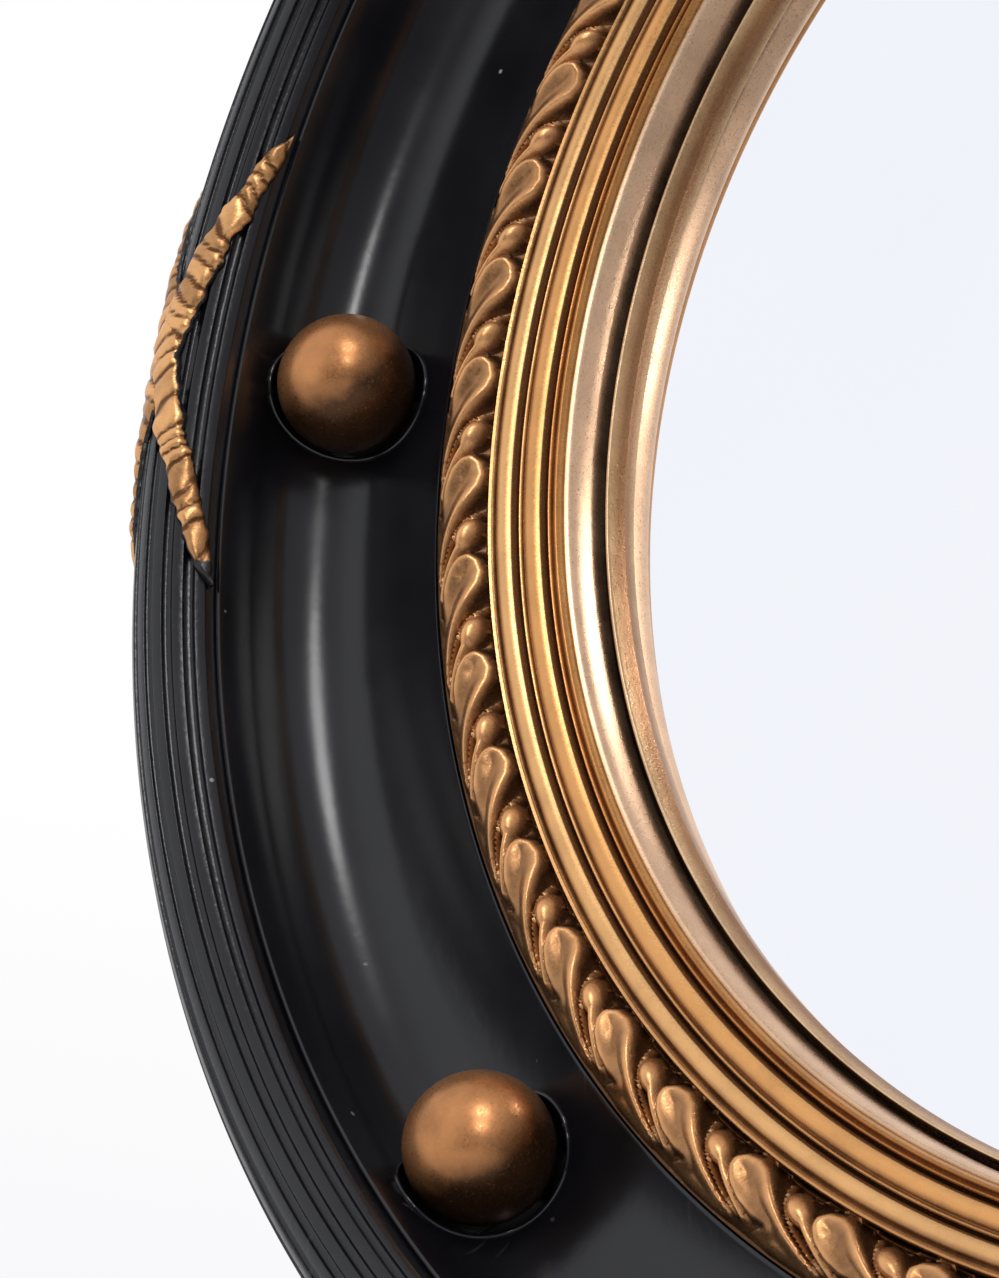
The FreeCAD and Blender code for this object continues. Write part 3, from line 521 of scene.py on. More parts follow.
moulding_section = [(BORE_RADIUS, MOULDING_SEAT)]
band_rise = BAND_TOP - BAND_START
moulding_section += [(BORE_RADIUS + (BAND_TOP_RADIUS - BORE_RADIUS) * (1 - math.cos(share * math.pi / 2)),
                      BAND_START + band_rise * math.sin(share * math.pi / 2) ** 0.9)
                     for share in (0, 0.12, 0.25, 0.4, 0.55, 0.7, 0.85, 1)]
for index, (inner, outer) in enumerate(zip(REED_EDGES[:-1], REED_EDGES[1:])):
    low, high = BAND_TOP + index * REED_STEP, BAND_TOP + (index + 1) * REED_STEP
    start = inner + (QUIRK if index else FIRST_QUIRK)
    moulding_section += reed_crown(inner, outer, start, outer - REED_END, low, high)
    top = high - 0.15
    moulding_section += [(outer - 0.72, high - 0.35), (outer - 0.5, top - 0.25), (outer - 0.36, top + 0.22),
                         (outer - 0.14, top + 0.36), (outer + 0.06, top + 0.22)]
    if index < 2:
        moulding_section += [(outer + 0.2, top - 0.75), (outer + 0.42, top - 1.0), (outer + 0.6, top - 0.8)]
moulding_section += [(TROUGH_RADIUS - 0.3, BAND_TOP + 3 * REED_STEP + 0.35),
                     (TROUGH_RADIUS, BAND_TOP + 3 * REED_STEP), (TROUGH_RADIUS, TROUGH_FLOOR),
                     (MOULDING_RADIUS, TROUGH_FLOOR), (MOULDING_RADIUS, MOULDING_SEAT)]
reed_gilt = gilt("gilt reeds", reed_colours_and_painted_light, (0.085, 0.030, 0.010), reed_wash_and_shade, mottle_scale=120.0)
finished("sight_moulding_gilt", turned("sight_moulding_gilt", moulding_section), reed_gilt, "gilt_moulding",
         "sight_moulding", crease=60)

# ---------------------------------------------------------------- gadroon strip
# A cast strip of fifty-six pairs of lobes, one large with a rolled rim and one small, that lean one way.
# It lies in the moulding's trough, gilded with it, and the brown wash fills the cuts between the lobes,
# darkened further there as painted shade.

PAIRS = 56
STRIP_INSIDE, STRIP_OUTSIDE, STRIP_BACK = 145.3, 156.5, 33.48
INNER_HEIGHT, OUTER_HEIGHT, STRIP_CROWN = 5.0, 4.0, 3.7
HEAD_DEGREES = -0.38
COLUMNS, ROWS = 46, 34
MID_RADIUS = (STRIP_INSIDE + STRIP_OUTSIDE) / 2
PITCH_LENGTH = 2 * math.pi * MID_RADIUS / PAIRS

# places on the strip, by millimetres along the lobes' lean and by radius
LARGE_HEAD = [(9.4, 153.0), (6.6, 152.8), (4.0, 151.9), (1.6, 150.6), (0.1, 149.0), (-0.25, 147.9),
              (0.6, 146.9), (2.6, 146.4), (4.6, 146.9), (6.2, 147.9), (8.3, 149.3), (10.7, 150.8),
              (13.4, 152.3)]
LARGE_RIM = LARGE_HEAD + [(16.0, 153.5), (19.0, 154.7)]
LARGE_BODY = LARGE_HEAD + [(16.5, 153.8), (18.5, 155.6), (10.0, 155.8), (7.0, 155.0)]
THREAD = [(8.9, 146.7), (9.3, 147.5), (10.3, 148.9), (12.0, 150.3), (14.5, 151.7), (17.5, 153.0),
          (20.5, 154.1)]
BULB = ((12.7, 148.6), 3.3, 1.75, 26.0)
BULB_TAIL = [(14.8, 149.6), (17.0, 151.0), (19.5, 152.5), (22.0, 153.9)]

# millimetres under or over the crowned face, widths of the lines, and shares of brown wash and painted shade
CUT_DEPTH, CUT_RISE, CUT_RISE_START, CUT_RISE_END = 2.6, 1.5, 151.5, 155.5
ROLL_LIFT, ROLL_SINK, ROLL_WIDTH, ROLL_TAPER = 0.15, 0.5, 0.80, 0.38
DISH_DEPTH, DISH_RISE, DISH_START, DISH_END, DISH_WASH_AND_SHADE = 0.95, 0.65, 2.6, 0.6, 0.34
SKIRT_DEPTH, SKIRT_WIDTH = 0.6, 0.75
BULB_LIFT, TAIL_DEPTH, TAIL_WIDTH, TAIL_TAPER = 0.25, 0.15, 1.35, 0.45
THREAD_DEPTH, THREAD_RISE, THREAD_WIDTH = 0.75, 0.35, 0.36
SCALLOP_RADIUS, SCALLOP_WAVE, SCALLOP_WIDTH, SCALLOP_PEAK, SCALLOP_LIFT = 145.75, 0.34, 0.26, 2.6, 0.15
EDGE_WIDTH, EDGE_DROP, EDGE_WASH_AND_SHADE = 0.8, 0.4, 0.9


def smooth(low, high, value):
    """A step from 0 to 1 with eased ends."""
    share = min(max((value - low) / (high - low), 0.0), 1.0)
    return share * share * (3 - 2 * share)


def from_line(points, along, radius):
    """Distance to a line of points, and the share of the way along it."""
    best, best_share = 1e9, 0.0
    for index in range(len(points) - 1):
        (a, b), (c, d) = points[index], points[index + 1]
        run = ((along - a) * (c - a) + (radius - b) * (d - b)) / ((c - a) ** 2 + (d - b) ** 2)
        run = min(max(run, 0.0), 1.0)
        gap = math.hypot(along - a - run * (c - a), radius - b - run * (d - b))
        if gap < best:
            best, best_share = gap, (index + run) / (len(points) - 1)
    return best, best_share


def inside(points, along, radius):
    """Whether a place lies within a closed outline."""
    crossings = 0
    for (a, b), (c, d) in zip(points, points[1:] + points[:1]):
        if (b > radius) != (d > radius) and along < a + (radius - b) * (c - a) / (d - b):
            crossings += 1
    return crossings % 2 == 1


def base_height(radius):
    """The crowned face of the strip before it is carved."""
    share = (radius - STRIP_INSIDE) / (STRIP_OUTSIDE - STRIP_INSIDE)
    return (STRIP_BACK + INNER_HEIGHT + (OUTER_HEIGHT - INNER_HEIGHT) * share
            + STRIP_CROWN * (1 - (2 * share - 1) ** 2))


def lobe_height(along, radius):
    """Height of one pair's carving over the cut ground, and how much brown wash and painted shade lies there.
    """
    base = base_height(radius)
    outer = smooth(CUT_RISE_START, CUT_RISE_END, radius)
    ground = base - CUT_DEPTH + CUT_RISE * outer
    roll_gap, roll_share = from_line(LARGE_RIM, along, radius)
    body_gap, _ = from_line(LARGE_BODY + LARGE_BODY[:1], along, radius)
    width = ROLL_WIDTH - ROLL_TAPER * smooth(0.62, 1.0, roll_share)
    roll = math.exp(-(roll_gap / width) ** 2) * smooth(0.0, 0.14, roll_share)
    # Brown wash with painted shade: darkest in the cut ground, lighter in the lobe's dish, and growing
    # towards the edge of the bulb.
    if inside(LARGE_BODY, along, radius):
        height, wash = base - DISH_DEPTH + DISH_RISE * smooth(DISH_START, DISH_END, body_gap), DISH_WASH_AND_SHADE
    else:
        height = ground + (base - SKIRT_DEPTH - ground) * smooth(SKIRT_WIDTH, 0.0, body_gap)
        wash = 1.0 - 0.55 * outer
    lifted = base + ROLL_LIFT - ROLL_SINK * smooth(0.6, 1.0, roll_share)
    height, wash = max(height, height + (lifted - height) * roll), wash * (1 - roll)
    (middle_along, middle_radius), long_half, short_half, lean = BULB
    turn = math.radians(lean)
    run, side = along - middle_along, radius - middle_radius
    near = ((run * math.cos(turn) + side * math.sin(turn)) / long_half) ** 2
    near += ((side * math.cos(turn) - run * math.sin(turn)) / short_half) ** 2
    if near < 1:
        dome = ground + (base + BULB_LIFT - ground) * (1 - near) ** 0.45
        if dome > height:
            height, wash = dome, 0.55 * near ** 2
    tail_gap, tail_share = from_line(BULB_TAIL, along, radius)
    tail = smooth(TAIL_WIDTH - TAIL_TAPER * tail_share, 0.0, tail_gap)
    tail_height = ground + (base - TAIL_DEPTH - ground) * tail ** 0.6
    if tail > 0 and tail_height > height:
        height, wash = tail_height, 0.45 * (1 - tail)
    thread_gap, thread_share = from_line(THREAD, along, radius)
    thread = math.exp(-(thread_gap / THREAD_WIDTH) ** 2)
    thread_height = ground + (base - THREAD_DEPTH + THREAD_RISE * thread_share - ground) * thread
    if thread > 0.05 and thread_height > height:
        height, wash = thread_height, 0.75 * (1 - thread)
    return height, wash


def strip_height(along, radius):
    """Height and wash with painted shade where the pairs before and after overlap this one, with the
    scalloped inner fillet.
    """
    height, wash = max(lobe_height(along + shift * PITCH_LENGTH, radius) for shift in (-1, 0, 1))
    bulge = math.cos(2 * math.pi * (along - SCALLOP_PEAK) / PITCH_LENGTH)
    fillet = math.exp(-((radius - SCALLOP_RADIUS + SCALLOP_WAVE * bulge) / SCALLOP_WIDTH) ** 2)
    raised = height + (base_height(STRIP_INSIDE) + SCALLOP_LIFT - height) * fillet
    if fillet > 0.1 and raised > height:
        height, wash = raised, wash * (1 - fillet)
    edge = smooth(STRIP_OUTSIDE - EDGE_WIDTH, STRIP_OUTSIDE, radius)
    height += (STRIP_BACK + OUTER_HEIGHT - EDGE_DROP - height) * edge
    return height, wash + (EDGE_WASH_AND_SHADE - wash) * edge


def pair_mesh():
    """One pair of lobes as a closed slice of the strip, open only at its two cut ends."""
    places, washes, faces = [], [], []
    for column in range(COLUMNS + 1):
        along = PITCH_LENGTH * column / COLUMNS
        degrees = -(HEAD_DEGREES + 360 / PAIRS * column / COLUMNS)
        for row in range(ROWS):
            radius = STRIP_INSIDE + (STRIP_OUTSIDE - STRIP_INSIDE) * row / (ROWS - 1)
            height, wash = strip_height(along, radius)
            places.append(round_axis(radius, height, degrees))
            washes.append(wash)
        for radius in (STRIP_OUTSIDE, STRIP_INSIDE):
            places.append(round_axis(radius, STRIP_BACK, degrees))
            washes.append(1.0)
    count = ROWS + 2
    for column in range(COLUMNS):
        for row in range(count):
            onward = (row + 1) % count
            faces.append((column * count + row, column * count + onward, (column + 1) * count + onward,
                          (column + 1) * count + row))
    return built("gadroon_pair", places, faces, wash=washes)


def round_the_axis(name):
    """A tree that repeats a mesh evenly about the mirror's axis and welds the copies."""
    tree, entry, leave = blank_group(
        name, "GeometryNodeTree",
        {"Geometry": "Geometry", "Count": "Int", "First Angle": "Float", "Weld Distance": "Float",
         "Material": "Material"}, {"Geometry": "Geometry"})
    points = node(tree, "GeometryNodePoints", {"Count": entry.outputs["Count"]})
    step = node(tree, "ShaderNodeMath", {0: 2 * math.pi, 1: entry.outputs["Count"]}, operation="DIVIDE")
    index = node(tree, "GeometryNodeInputIndex").outputs[0]
    turn = node(tree, "ShaderNodeMath", {0: index, 1: step.outputs[0], 2: entry.outputs["First Angle"]},
                operation="MULTIPLY_ADD")
    swing = node(tree, "FunctionNodeAxisAngleToRotation", {"Axis": (0, 1, 0), "Angle": turn.outputs[0]})
    copies = node(tree, "GeometryNodeInstanceOnPoints", {"Points": points.outputs[0],
                                                         "Instance": entry.outputs["Geometry"],
                                                         "Rotation": swing.outputs[0]})
    solid = node(tree, "GeometryNodeRealizeInstances", {"Geometry": copies.outputs[0]})
    welded = node(tree, "GeometryNodeMergeByDistance", {"Geometry": solid.outputs[0],
                                                        "Distance": entry.outputs["Weld Distance"]})
    dressed = node(tree, "GeometryNodeSetMaterial", {"Geometry": welded.outputs[0],
                                                     "Material": entry.outputs["Material"]})
    tree.links.new(dressed.outputs[0], leave.inputs[0])
    return tree


repeat_round = round_the_axis("repeat round the axis")


def repeated(mesh, name, material, count, first_degrees=0.0, weld=0.004):
    """A mesh repeated evenly about the mirror's axis."""
    mesh.name = name

    def set_up(carrier):
        turned_round = carrier.modifiers.new("round", "NODES")
        turned_round.node_group = repeat_round
        chosen = {"Count": count, "First Angle": math.radians(first_degrees), "Weld Distance": weld * MM,
                  "Material": material}
        for item in repeat_round.interface.items_tree:
            if item.in_out == "INPUT" and item.name in chosen:
                turned_round[item.identifier] = chosen[item.name]

    return evaluated(mesh, set_up)


def stored_wash(tree, place):
    """The wash and painted shade stored in the mesh, spread a little out of the cuts as painted shade."""
    wash = node(tree, "ShaderNodeAttribute", attribute_name="wash").outputs["Fac"]
    return times(tree, node(tree, "ShaderNodeMath", {0: wash, 1: 0.75}, operation="POWER").outputs[0], 1.3)


carved_gilt = gilt("gilt carving", (0.84, 0.42, 0.17), (0.034, 0.010, 0.003), stored_wash,
                   mottle_scale=260.0, relief=0.03)
gadroon_mesh = repeated(pair_mesh(), "gadroon_strip_gilt", carved_gilt, PAIRS)
finished("gadroon_strip_gilt", gadroon_mesh, carved_gilt, "gilt_carving", "gadroon_strip", crease=75)

# ---------------------------------------------------------------- sight slip
# A thin gilt liner that slopes from its bright front edge down to the glass and laps over the glass.
# Its gilding is sandy, with glitter in it, a painted highlight along its front edge and painted shade in the
# joint behind.

SLIP_RADIUS, SLIP_OUTSIDE, SIGHT_EDGE, SLIP_TOP = 128.2, 131.1, 21.18, 29.18
SLIP_FLANGE, GLASS_RADIUS, GLASS_EDGE_FRONT = 24.08, 136.5, 18.4


def slip_colours_and_painted_light(tree, place):
    """Sandy gold up the slope, with a painted highlight along the front edge and painted shade in the joint
    behind it.
    """
    # Painted highlight: the bright stop at the front edge; painted shade: the near-black stops in the joint
    # behind it.
    return along_radius(tree, place, [(128.2, (0.44, 0.23, 0.10)), (128.7, (0.44, 0.23, 0.10)),
                                      (129.7, (0.38, 0.185, 0.080)), (130.1, (0.66, 0.40, 0.20)),
                                      (130.55, (0.84, 0.60, 0.36)), (130.75, (0.10, 0.045, 0.02)),
                                      (131.1, (0.03, 0.015, 0.008))])


def even_mask(tree, place):
    """A faint cloudy wash."""
    return times(tree, between(tree, 0.4, 0.8, clouds(tree, place, 60.0, 3.0)), 0.35)


slip_section = eased([(SLIP_RADIUS, SIGHT_EDGE), (SLIP_RADIUS + 1.95, SLIP_TOP - 0.55),
                      (SLIP_RADIUS + 2.1, SLIP_TOP - 0.1), (SLIP_RADIUS + 2.45, SLIP_TOP),
                      (SLIP_OUTSIDE, SLIP_TOP - 0.45), (SLIP_OUTSIDE, SLIP_FLANGE),
                      (GLASS_RADIUS, SLIP_FLANGE), (GLASS_RADIUS, GLASS_EDGE_FRONT)], ease=0.15)
slip_gilt = gilt("sandy gilding", slip_colours_and_painted_light, (0.20, 0.09, 0.03), even_mask, mottle_scale=300.0,
                 relief=0.06)
finished("sight_slip_gilt", turned("sight_slip_gilt", slip_section), slip_gilt, "gilt_slip", "sight_slip")

# ---------------------------------------------------------------- mirror glass
# Domed glass, silvered behind and a little uneven, as bent glass is. It eases to a nearly level margin
# where the slip laps over it, and a felt cushion presses on it from behind.

DOME_RADIUS, DOME_APEX, GLASS_THICKNESS = 420.0, 40.97, 3.0
EASE_START, MARGIN_RADIUS, MARGIN_SLOPE, MARGIN_EDGE = 92.0, 129.7, 0.035, 0.9
DOME_RINGS, EASE_RINGS, GLASS_STEPS, POLE = 30, 40, 192, 0.001


def dome_depth(radius, set_back=0.0):
    """Depth of the dome, or of a face that lies a distance behind it."""
    return DOME_APEX - DOME_RADIUS + math.sqrt((DOME_RADIUS - set_back) ** 2 - radius ** 2)


def face_depth(radius):
    """The glass's face: the dome, easing to a nearly level margin where the slip laps over it."""
    past = min(max(radius - EASE_START, 0.0), MARGIN_RADIUS - EASE_START)
    slope = EASE_START / math.sqrt(DOME_RADIUS ** 2 - EASE_START ** 2)
    share = past / (MARGIN_RADIUS - EASE_START)
    eased_depth = dome_depth(min(radius, EASE_START)) - past * (slope + (MARGIN_SLOPE - slope) * share / 2)
    covered = smooth(MARGIN_RADIUS, MARGIN_RADIUS + MARGIN_EDGE, radius)
    return eased_depth + (dome_depth(radius) - eased_depth) * covered


front = [(radius, face_depth(radius)) for radius in
         [EASE_START * step / DOME_RINGS for step in range(DOME_RINGS)]
         + [EASE_START + (MARGIN_RADIUS - EASE_START) * step / EASE_RINGS for step in range(EASE_RINGS + 1)]
         + [MARGIN_RADIUS + MARGIN_EDGE / 2, MARGIN_RADIUS + MARGIN_EDGE, GLASS_RADIUS]]
rear = [(radius, dome_depth(radius, GLASS_THICKNESS)) for radius, _ in reversed(front)]
glass_section = [(max(radius, POLE), depth) for radius, depth in front + rear]


def silvered():
    """Bright silvering with a cool tint and a slight wave."""
    material, tree, shader, place = blank_material("silvered glass")
    cool = between(tree, 0.35, 0.65, clouds(tree, place, 9.0, 2.0))
    feed(tree, shader, {"Base Color": mixed(tree, cool, (0.950, 0.955, 0.965), (0.970, 0.972, 0.978)),
                        "Metallic": 1.0, "Roughness": 0.015})
    emboss(tree, shader, clouds(tree, place, 14.0, 1.0), 0.10, 0.25)
    return material


finished("mirror_glass_silvered", turned("mirror_glass_silvered", glass_section, GLASS_STEPS), silvered(),
         "mirror_glass", "mirror_glass", crease=40)

# ---------------------------------------------------------------- gilt balls
# Eight turned balls, gilded bronze-gold and toned, with painted shade on the side turned away from the front
# and above, each on a birch dowel glued in its socket.

BALL_BORE, BORE_DEPTH = 2.55, 1.5
BALL_RINGS, BALL_STEPS, OUT_OF_ROUND, BALL_SEED = 48, 96, 0.05, 7.3


def ball_shade_and_clouds(tree, place):
    """The painted shade stored in the mesh, with soft clouds in it."""
    patina = node(tree, "ShaderNodeAttribute", attribute_name="patina").outputs["Fac"]
    soft = times(tree, between(tree, 0.45, 0.80, clouds(tree, place, 95.0, 4.0)), 0.35)
    return times(tree, patina, soft, "ADD")


ball_gilt = gilt("bronze gilding", (0.62, 0.27, 0.10), (0.020, 0.008, 0.004), ball_shade_and_clouds,
                 mottle_scale=180.0, relief=0.012)


def ball_mesh(name, centre, seed):
    """A ball a hair out of round, with its dowel's hole behind and painted shade on the side turned away from
    the light.
    """
    angles = [math.pi * step / BALL_RINGS for step in range(BALL_RINGS + 1)]
    round_points = [(BALL_RADIUS * math.sin(angle), BALL_RADIUS * math.cos(angle)) for angle in angles]
    neck = [point for point in round_points if point[0] > BALL_BORE or point[1] > 0]
    hole = neck[-1][1] + BORE_DEPTH
    section = neck + [(BALL_BORE, neck[-1][1]), (BALL_BORE, hole), (POLE, hole)]
    places, patina, faces = [], [], []
    count = len(section)
    # Painted shade: each ball is darker on the side turned away from the front and above, where the light
    # comes from.
    lit_way = Vector((-0.10, -0.78, 0.62)).normalized()
    for step in range(BALL_STEPS):
        turn = 2 * math.pi * step / BALL_STEPS
        for radius, front_depth in section:
            spot = Vector((radius * math.cos(turn), -front_depth, radius * math.sin(turn))) * MM
            swell = noise.noise(spot * 90 + Vector((seed, 0, 0))) * OUT_OF_ROUND * MM
            places.append(centre + spot + spot.normalized() * swell)
            patina.append(0.95 * smooth(0.62, -0.15, spot.normalized().dot(lit_way)))
    for step in range(BALL_STEPS):
        onward = (step + 1) % BALL_STEPS
        for index in range(count - 1):
            faces.append((step * count + index, step * count + index + 1, onward * count + index + 1,
                          onward * count + index))
    return built(name, places, faces, patina=patina)


for index, centre in enumerate(ball_centres):
    name = f"ball_{index + 1}_gilt"
    finished(name, ball_mesh(name, centre, BALL_SEED * index), ball_gilt, "gilt_ball",
             f"ball_{index + 1}", crease=50)


def birch():
    """Birch with its grain along the dowel."""
    material, tree, shader, place = blank_material("birch dowel")
    along = node(tree, "ShaderNodeMapping", {"Vector": place, "Scale": (900.0, 60.0, 900.0)}).outputs[0]
    grain = clouds(tree, along, 1.0, 3.0)
    feed(tree, shader, {"Base Color": mixed(tree, grain, (0.42, 0.29, 0.16), (0.66, 0.50, 0.31)),
                        "Roughness": 0.6})
    return material


def dress(material, *node_names):
    """Give plain nodes their finish."""
    for node_name in node_names:
        coat(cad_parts[node_name].data, material)


dress(birch(), "ball_pins")

# ---------------------------------------------------------------- crossed ribbons
# Cast ribbons bent over the rim and pinned, two crossing bands each, pleated across their length.
# They are gilded on top, and the black of the rim runs up their undercut edges and one thin tip of each.

RIBBON_COUNT = 4
RIBBON_WIDTH, RIBBON_TIP_WIDTH, RIBBON_THICKNESS, RIBBON_FIT = 6.4, 2.4, 1.1, 0.3
RIBBON_DEGREES, RIBBON_INNER, RIBBON_OUTER = 11.9, 156.0, -10.0
RIBBON_ALONG, RIBBON_ACROSS, RIBBON_FOLDS, RIBBON_SEATED, RIBBON_SEED = 200, 10, 13, 0.02, 11.7

ribbon_cross = (RIBBON_INNER + RIBBON_OUTER) / 2
ribbon_sweep = (RIBBON_INNER - RIBBON_OUTER) / 2


def over_rim(first, degrees, section_degrees, rise):
    """A place over the rim, by the angle round the mirror and the angle round the rim's section."""
    turn, bend = math.radians(first + degrees), math.radians(section_degrees)
    outward, front_way = Vector((math.sin(turn), 0, math.cos(turn))), Vector((0, -1, 0))
    reach = RIM_SECTION + rise
    return (outward * (RIM_RADIUS + reach * math.cos(bend))
            + front_way * (RIM_DEPTH + reach * math.sin(bend))) * MM


def ribbon_band(first, way, seed):
    """Top and bottom places of one band, with the gilding and the wash of its pleated top, darkened as
    painted shade in the troughs of the pleats.
    """
    tops, bottoms, gold, wash = [], [], [], []
    run_round = math.radians(way * RIBBON_DEGREES) * RIM_RADIUS
    run_section = math.radians(ribbon_sweep) * RIM_SECTION
    slant = math.hypot(run_round, run_section)
    for step in range(RIBBON_ALONG + 1):
        share = 2 * step / RIBBON_ALONG - 1
        wander = noise.noise(Vector((share * 5, seed, 9.2)))
        pleats = RIBBON_FOLDS * share + 1.1 * wander
        half = RIBBON_WIDTH / 2 - (RIBBON_WIDTH - RIBBON_TIP_WIDTH) / 2 * abs(share) ** 1.5
        nip = 0.10 * abs(math.cos(math.pi * pleats)) ** 3
        half *= 1 + 0.30 * noise.noise(Vector((share * 9, seed, 0.3))) - nip
        half *= smooth(1.0, 0.88, abs(share)) * 0.85 + 0.15
        degrees = way * RIBBON_DEGREES * share + 0.4 * wander
        section_degrees = ribbon_cross + ribbon_sweep * share
        for column in range(RIBBON_ACROSS + 1):
            side = 2 * column / RIBBON_ACROSS - 1
            phase = pleats + 0.30 * side * way + 0.25 * noise.noise(Vector((share * 12, side, seed)))
            pillow = abs(math.sin(math.pi * phase))
            lift = noise.noise(Vector((math.floor(phase) * 3.7, seed, 4.4)))
            offset = side * half * (1 + 0.14 * noise.noise(Vector((share * 30, side * 0.6, seed + 3))))
            round_shift = math.degrees(-offset * run_section / slant / RIM_RADIUS)
            section_shift = math.degrees(offset * run_round / slant / RIM_SECTION)
            swell = 0.42 + 0.42 * pillow ** 0.6 + 0.22 * (1 - side ** 2) + 0.35 * lift
            top = RIBBON_FIT + RIBBON_THICKNESS * swell * (1 - 0.80 * max(0, abs(side) - 0.72) / 0.28)
            spot = (first, degrees + round_shift, section_degrees + section_shift)
            tops.append(over_rim(*spot, top))
            bottoms.append(over_rim(*spot, RIBBON_SEATED))
            tip = smooth(0.84, 0.93, share) if way < 0 else smooth(0.97, 1.0, share)
            # The black is the rim's paint at the edges and tip; the share taken off in the pleat troughs is
            # painted shade.
            gold.append(1 - min(smooth(0.74, 0.94, abs(side)) + tip + 0.35 * smooth(0.16, 0.0, pillow), 1.0))
            # Painted shade darkens the pleat troughs; some pleats are darker at random.
            wash.append(0.85 * smooth(0.45, 0.05, pillow) + 0.25 * smooth(0.1, -0.3, lift))
    return tops, bottoms, gold, wash


def ribbon_mesh(name, first, seed):
    """Two crossing bands as one mesh, with their gilding and their wash and painted shade stored in it."""
    places, gold, wash, faces = [], [], [], []
    for way in (1, -1):
        tops, bottoms, gilded, washed = ribbon_band(first, way, seed + way)
        start, row = len(places), RIBBON_ACROSS + 1
        count = len(tops)
        places += tops + bottoms
        gold += gilded + [0.0] * count
        wash += washed + [1.0] * count
        for step in range(RIBBON_ALONG):
            for column in range(RIBBON_ACROSS):
                a = start + step * row + column
                faces.append((a, a + 1, a + row + 1, a + row))
                faces.append((a + count, a + count + row, a + count + row + 1, a + count + 1))
            for a in (start + step * row, start + step * row + RIBBON_ACROSS):
                faces.append((a, a + row, a + row + count, a + count))
        for a in (start, start + RIBBON_ALONG * row):
            faces += [(a + k, a + k + 1, a + k + 1 + count, a + k + count) for k in range(RIBBON_ACROSS)]
    return built(name, places, faces, gold=gold, wash=wash)


def ribbon_gilding():
    """Gilding on the tops of the folds, giving way to black at the edges and tips, and in patches in the
    pleat troughs as painted shade.
    """
    material, tree, shader, place = blank_material("ribbon gilding")
    toned = node(tree, "ShaderNodeGroup", node_tree=gilding)
    feed(tree, toned, {"Place": place, "Gold": (0.86, 0.45, 0.18, 1), "Wash and Shade Colour": (0.075, 0.022, 0.006, 1),
                       "Mottle Scale": 320.0, "Wash and Shade Mask": stored_wash(tree, place)})
    stored = node(tree, "ShaderNodeAttribute", attribute_name="gold").outputs["Fac"]
    chips = between(tree, 0.62, 0.50, clouds(tree, place, 420.0, 3.0))
    chipped = times(tree, stored, times(tree, chips, 0.5, "ADD"))
    cover = between(tree, 0.28, 0.42, chipped)
    feed(tree, shader, {"Base Color": mixed(tree, cover, (0.006, 0.006, 0.007), toned.outputs["Colour"]),
                        "Metallic": times(tree, cover, 0.85), "Roughness": toned.outputs["Roughness"]})
    emboss(tree, shader, toned.outputs["Height"], 0.05)
    return material


ribbon_gilt = ribbon_gilding()
for index in range(RIBBON_COUNT):
    name = f"ribbon_cross_{index + 1}_gilt"
    finished(name, ribbon_mesh(name, 360 / RIBBON_COUNT * index, RIBBON_SEED * index), ribbon_gilt,
             "gilt_carving", f"ribbon_cross_{index + 1}", crease=70)

# ---------------------------------------------------------------- cushion and backing board
# A pressed felt ring holds the glass forward against the slip. A disc of tempered brown hardboard closes
# the back over it, in a rebate of the carcase.


def felt():
    """Pressed grey felt."""
    material, tree, shader, place = blank_material("grey felt")
    fibre = clouds(tree, place, 1500.0, 5.0)
    feed(tree, shader, {"Base Color": mixed(tree, fibre, (0.10, 0.095, 0.09), (0.26, 0.25, 0.24)),
                        "Roughness": 0.95})
    emboss(tree, shader, fibre, 0.3)
    return material


def hardboard():
    """Tempered hardboard, flecked, with soft darker patches."""
    material, tree, shader, place = blank_material("brown hardboard")
    flecks = clouds(tree, place, 520.0, 6.0, 0.7)
    patches = times(tree, between(tree, 0.4, 0.7, clouds(tree, place, 11.0, 3.0)), 0.4)
    brown = mixed(tree, between(tree, 0.35, 0.65, flecks), (0.15, 0.080, 0.040), (0.34, 0.21, 0.12))
    feed(tree, shader, {"Base Color": mixed(tree, patches, brown, (0.20, 0.11, 0.06)), "Roughness": 0.62})
    emboss(tree, shader, flecks, 0.08)
    return material


dress(felt(), "glass_cushion")
dress(hardboard(), "backing_board")

# ---------------------------------------------------------------- screws, hangers and bumpers
# Zinc-plated pan-head screws hold the board, two folded straps with wire D rings hang the mirror,
# and two rubber bumpers keep its foot off the wall.


def zinc():
    """Zinc plate: pale crystals, thumbed dull in places."""
    material, tree, shader, place = blank_material("zinc plate")
    crystals = node(tree, "ShaderNodeTexVoronoi", {"Vector": place, "Scale": 900.0})
    tone = node(tree, "ShaderNodeSeparateColor", {"Color": crystals.outputs["Color"]}).outputs[0]
    smudge = clouds(tree, place, 160.0, 4.0)
    feed(tree, shader, {"Base Color": mixed(tree, tone, (0.50, 0.50, 0.48), (0.66, 0.65, 0.61)),
                        "Metallic": 0.95, "Roughness": between(tree, 0.3, 0.7, smudge, 0.24, 0.5)})
    emboss(tree, shader, smudge, 0.03, 0.6)
    return material


def rubber():
    """Black rubber with a grey bloom."""
    material, tree, shader, place = blank_material("black rubber")
    bloom = clouds(tree, place, 240.0, 5.0)
    grey = between(tree, 0.45, 0.75, bloom)
    feed(tree, shader, {"Base Color": mixed(tree, grey, (0.016, 0.016, 0.016), (0.050, 0.050, 0.052)),
                        "Roughness": 0.72})
    emboss(tree, shader, bloom, 0.08, 0.8)
    return material


dress(zinc(), "backing_screws", "hanger_screws", "bumper_screws", "hanger_strap_left",
      "hanger_strap_right", "hanger_ring_left", "hanger_ring_right")
dress(rubber(), "bumper_left", "bumper_right")

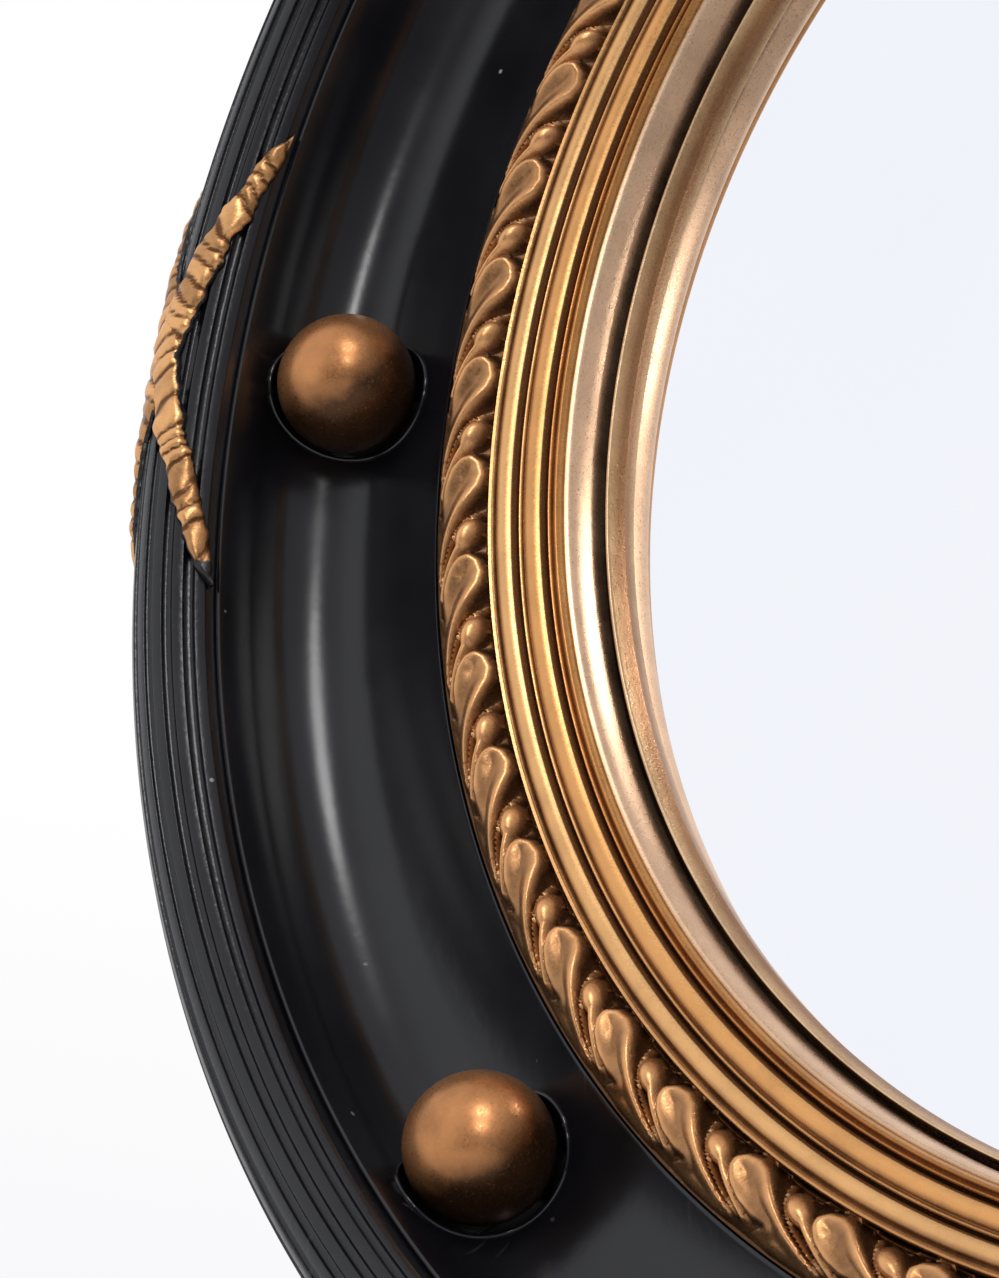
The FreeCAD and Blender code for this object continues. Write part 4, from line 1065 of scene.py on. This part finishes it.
# ---------------------------------------------------------------- studio
# A plain pale floor well below the hanging mirror, a white sweep all round with a faint painted shadow low
# behind the mirror, and two soft lamps.
# The camera stands close in front and below, as the photograph's does.

CAMERA_PLACE = Vector((0.2371, -0.4710, -0.2329))
CAMERA_FORWARD = Vector((-0.622, 0.718, 0.312)).normalized()
CAMERA_UP = Vector((0.082, -0.336, 0.938))
LENS, SENSOR = 113.9, 36.0
FLOOR_HEIGHT, FLOOR_HALF = -0.60, 1.5
# each lamp's name, direction from the mirror, distance, width and watts
LAMPS = [("key", Vector((0.35, -0.67, 0.65)), 1.6, 0.40, 5.0),
         ("streak", Vector((0.52, -0.80, 0.31)), 1.8, 0.26, 3.6)]

right = CAMERA_FORWARD.cross(CAMERA_UP).normalized()
upright = right.cross(CAMERA_FORWARD).normalized()
camera = placed("camera", bpy.data.cameras.new("camera"))
camera.data.lens, camera.data.sensor_width = LENS, SENSOR
camera.data.clip_start = 0.01
turned_to = Matrix((right, upright, -CAMERA_FORWARD)).transposed().to_4x4()
camera.matrix_world = Matrix.Translation(CAMERA_PLACE) @ turned_to
bpy.context.scene.camera = camera

corners = [(x * FLOOR_HALF, y * FLOOR_HALF, FLOOR_HEIGHT) for x, y in ((-1, -1), (1, -1), (1, 1), (-1, 1))]
floor = placed("floor", built("floor", corners, [(0, 1, 2, 3)]))
floor_paint, floor_tree, floor_shader, _ = blank_material("pale floor")
feed(floor_tree, floor_shader, {"Base Color": (0.86, 0.86, 0.88, 1), "Roughness": 0.8})
coat(floor.data, floor_paint)

for name, way, distance, size, power in LAMPS:
    lamp = placed(name, bpy.data.lights.new(name, "AREA"))
    lamp.data.shape, lamp.data.size, lamp.data.energy = "DISK", size, power
    lamp.location = way.normalized() * distance
    lamp.rotation_euler = way.to_track_quat("Z", "Y").to_euler()

world = bpy.data.worlds.new("white sweep")
world.use_nodes = True
bpy.context.scene.world = world
sweep = world.node_tree
sweep.nodes.clear()
around_way = node(sweep, "ShaderNodeTexCoord").outputs["Generated"]


def towards(way, low, high):
    """Share of the sweep that lies towards a direction."""
    along = node(sweep, "ShaderNodeVectorMath", {0: around_way, 1: Vector(way).normalized()},
                 operation="DOT_PRODUCT")
    return between(sweep, low, high, along.outputs["Value"])


sky = mixed(sweep, towards((0.2, -0.2, 1), -0.1, 0.9), (0.10, 0.10, 0.11), (0.62, 0.62, 0.66))
sky = mixed(sweep, towards((-0.70, -0.64, 0.25), 0.45, 0.78), sky, (0.92, 0.935, 0.985))
sky = mixed(sweep, towards((0, 1, 0), -0.15, 0.30), sky, (1.0, 1.0, 1.0))
# A faint painted shadow on the sweep, low behind the mirror.
painted_shadow_behind = times(sweep, towards((0, 1, 0), 0.3, 0.6), towards((0, 0, -1), -0.26, -0.08))
sky = mixed(sweep, painted_shadow_behind, sky, (0.91, 0.905, 0.935))
backdrop = node(sweep, "ShaderNodeBackground", {"Color": sky, "Strength": 1.0})
node(sweep, "ShaderNodeOutputWorld", {"Surface": backdrop.outputs[0]})
bpy.context.scene.view_settings.view_transform = "Standard"
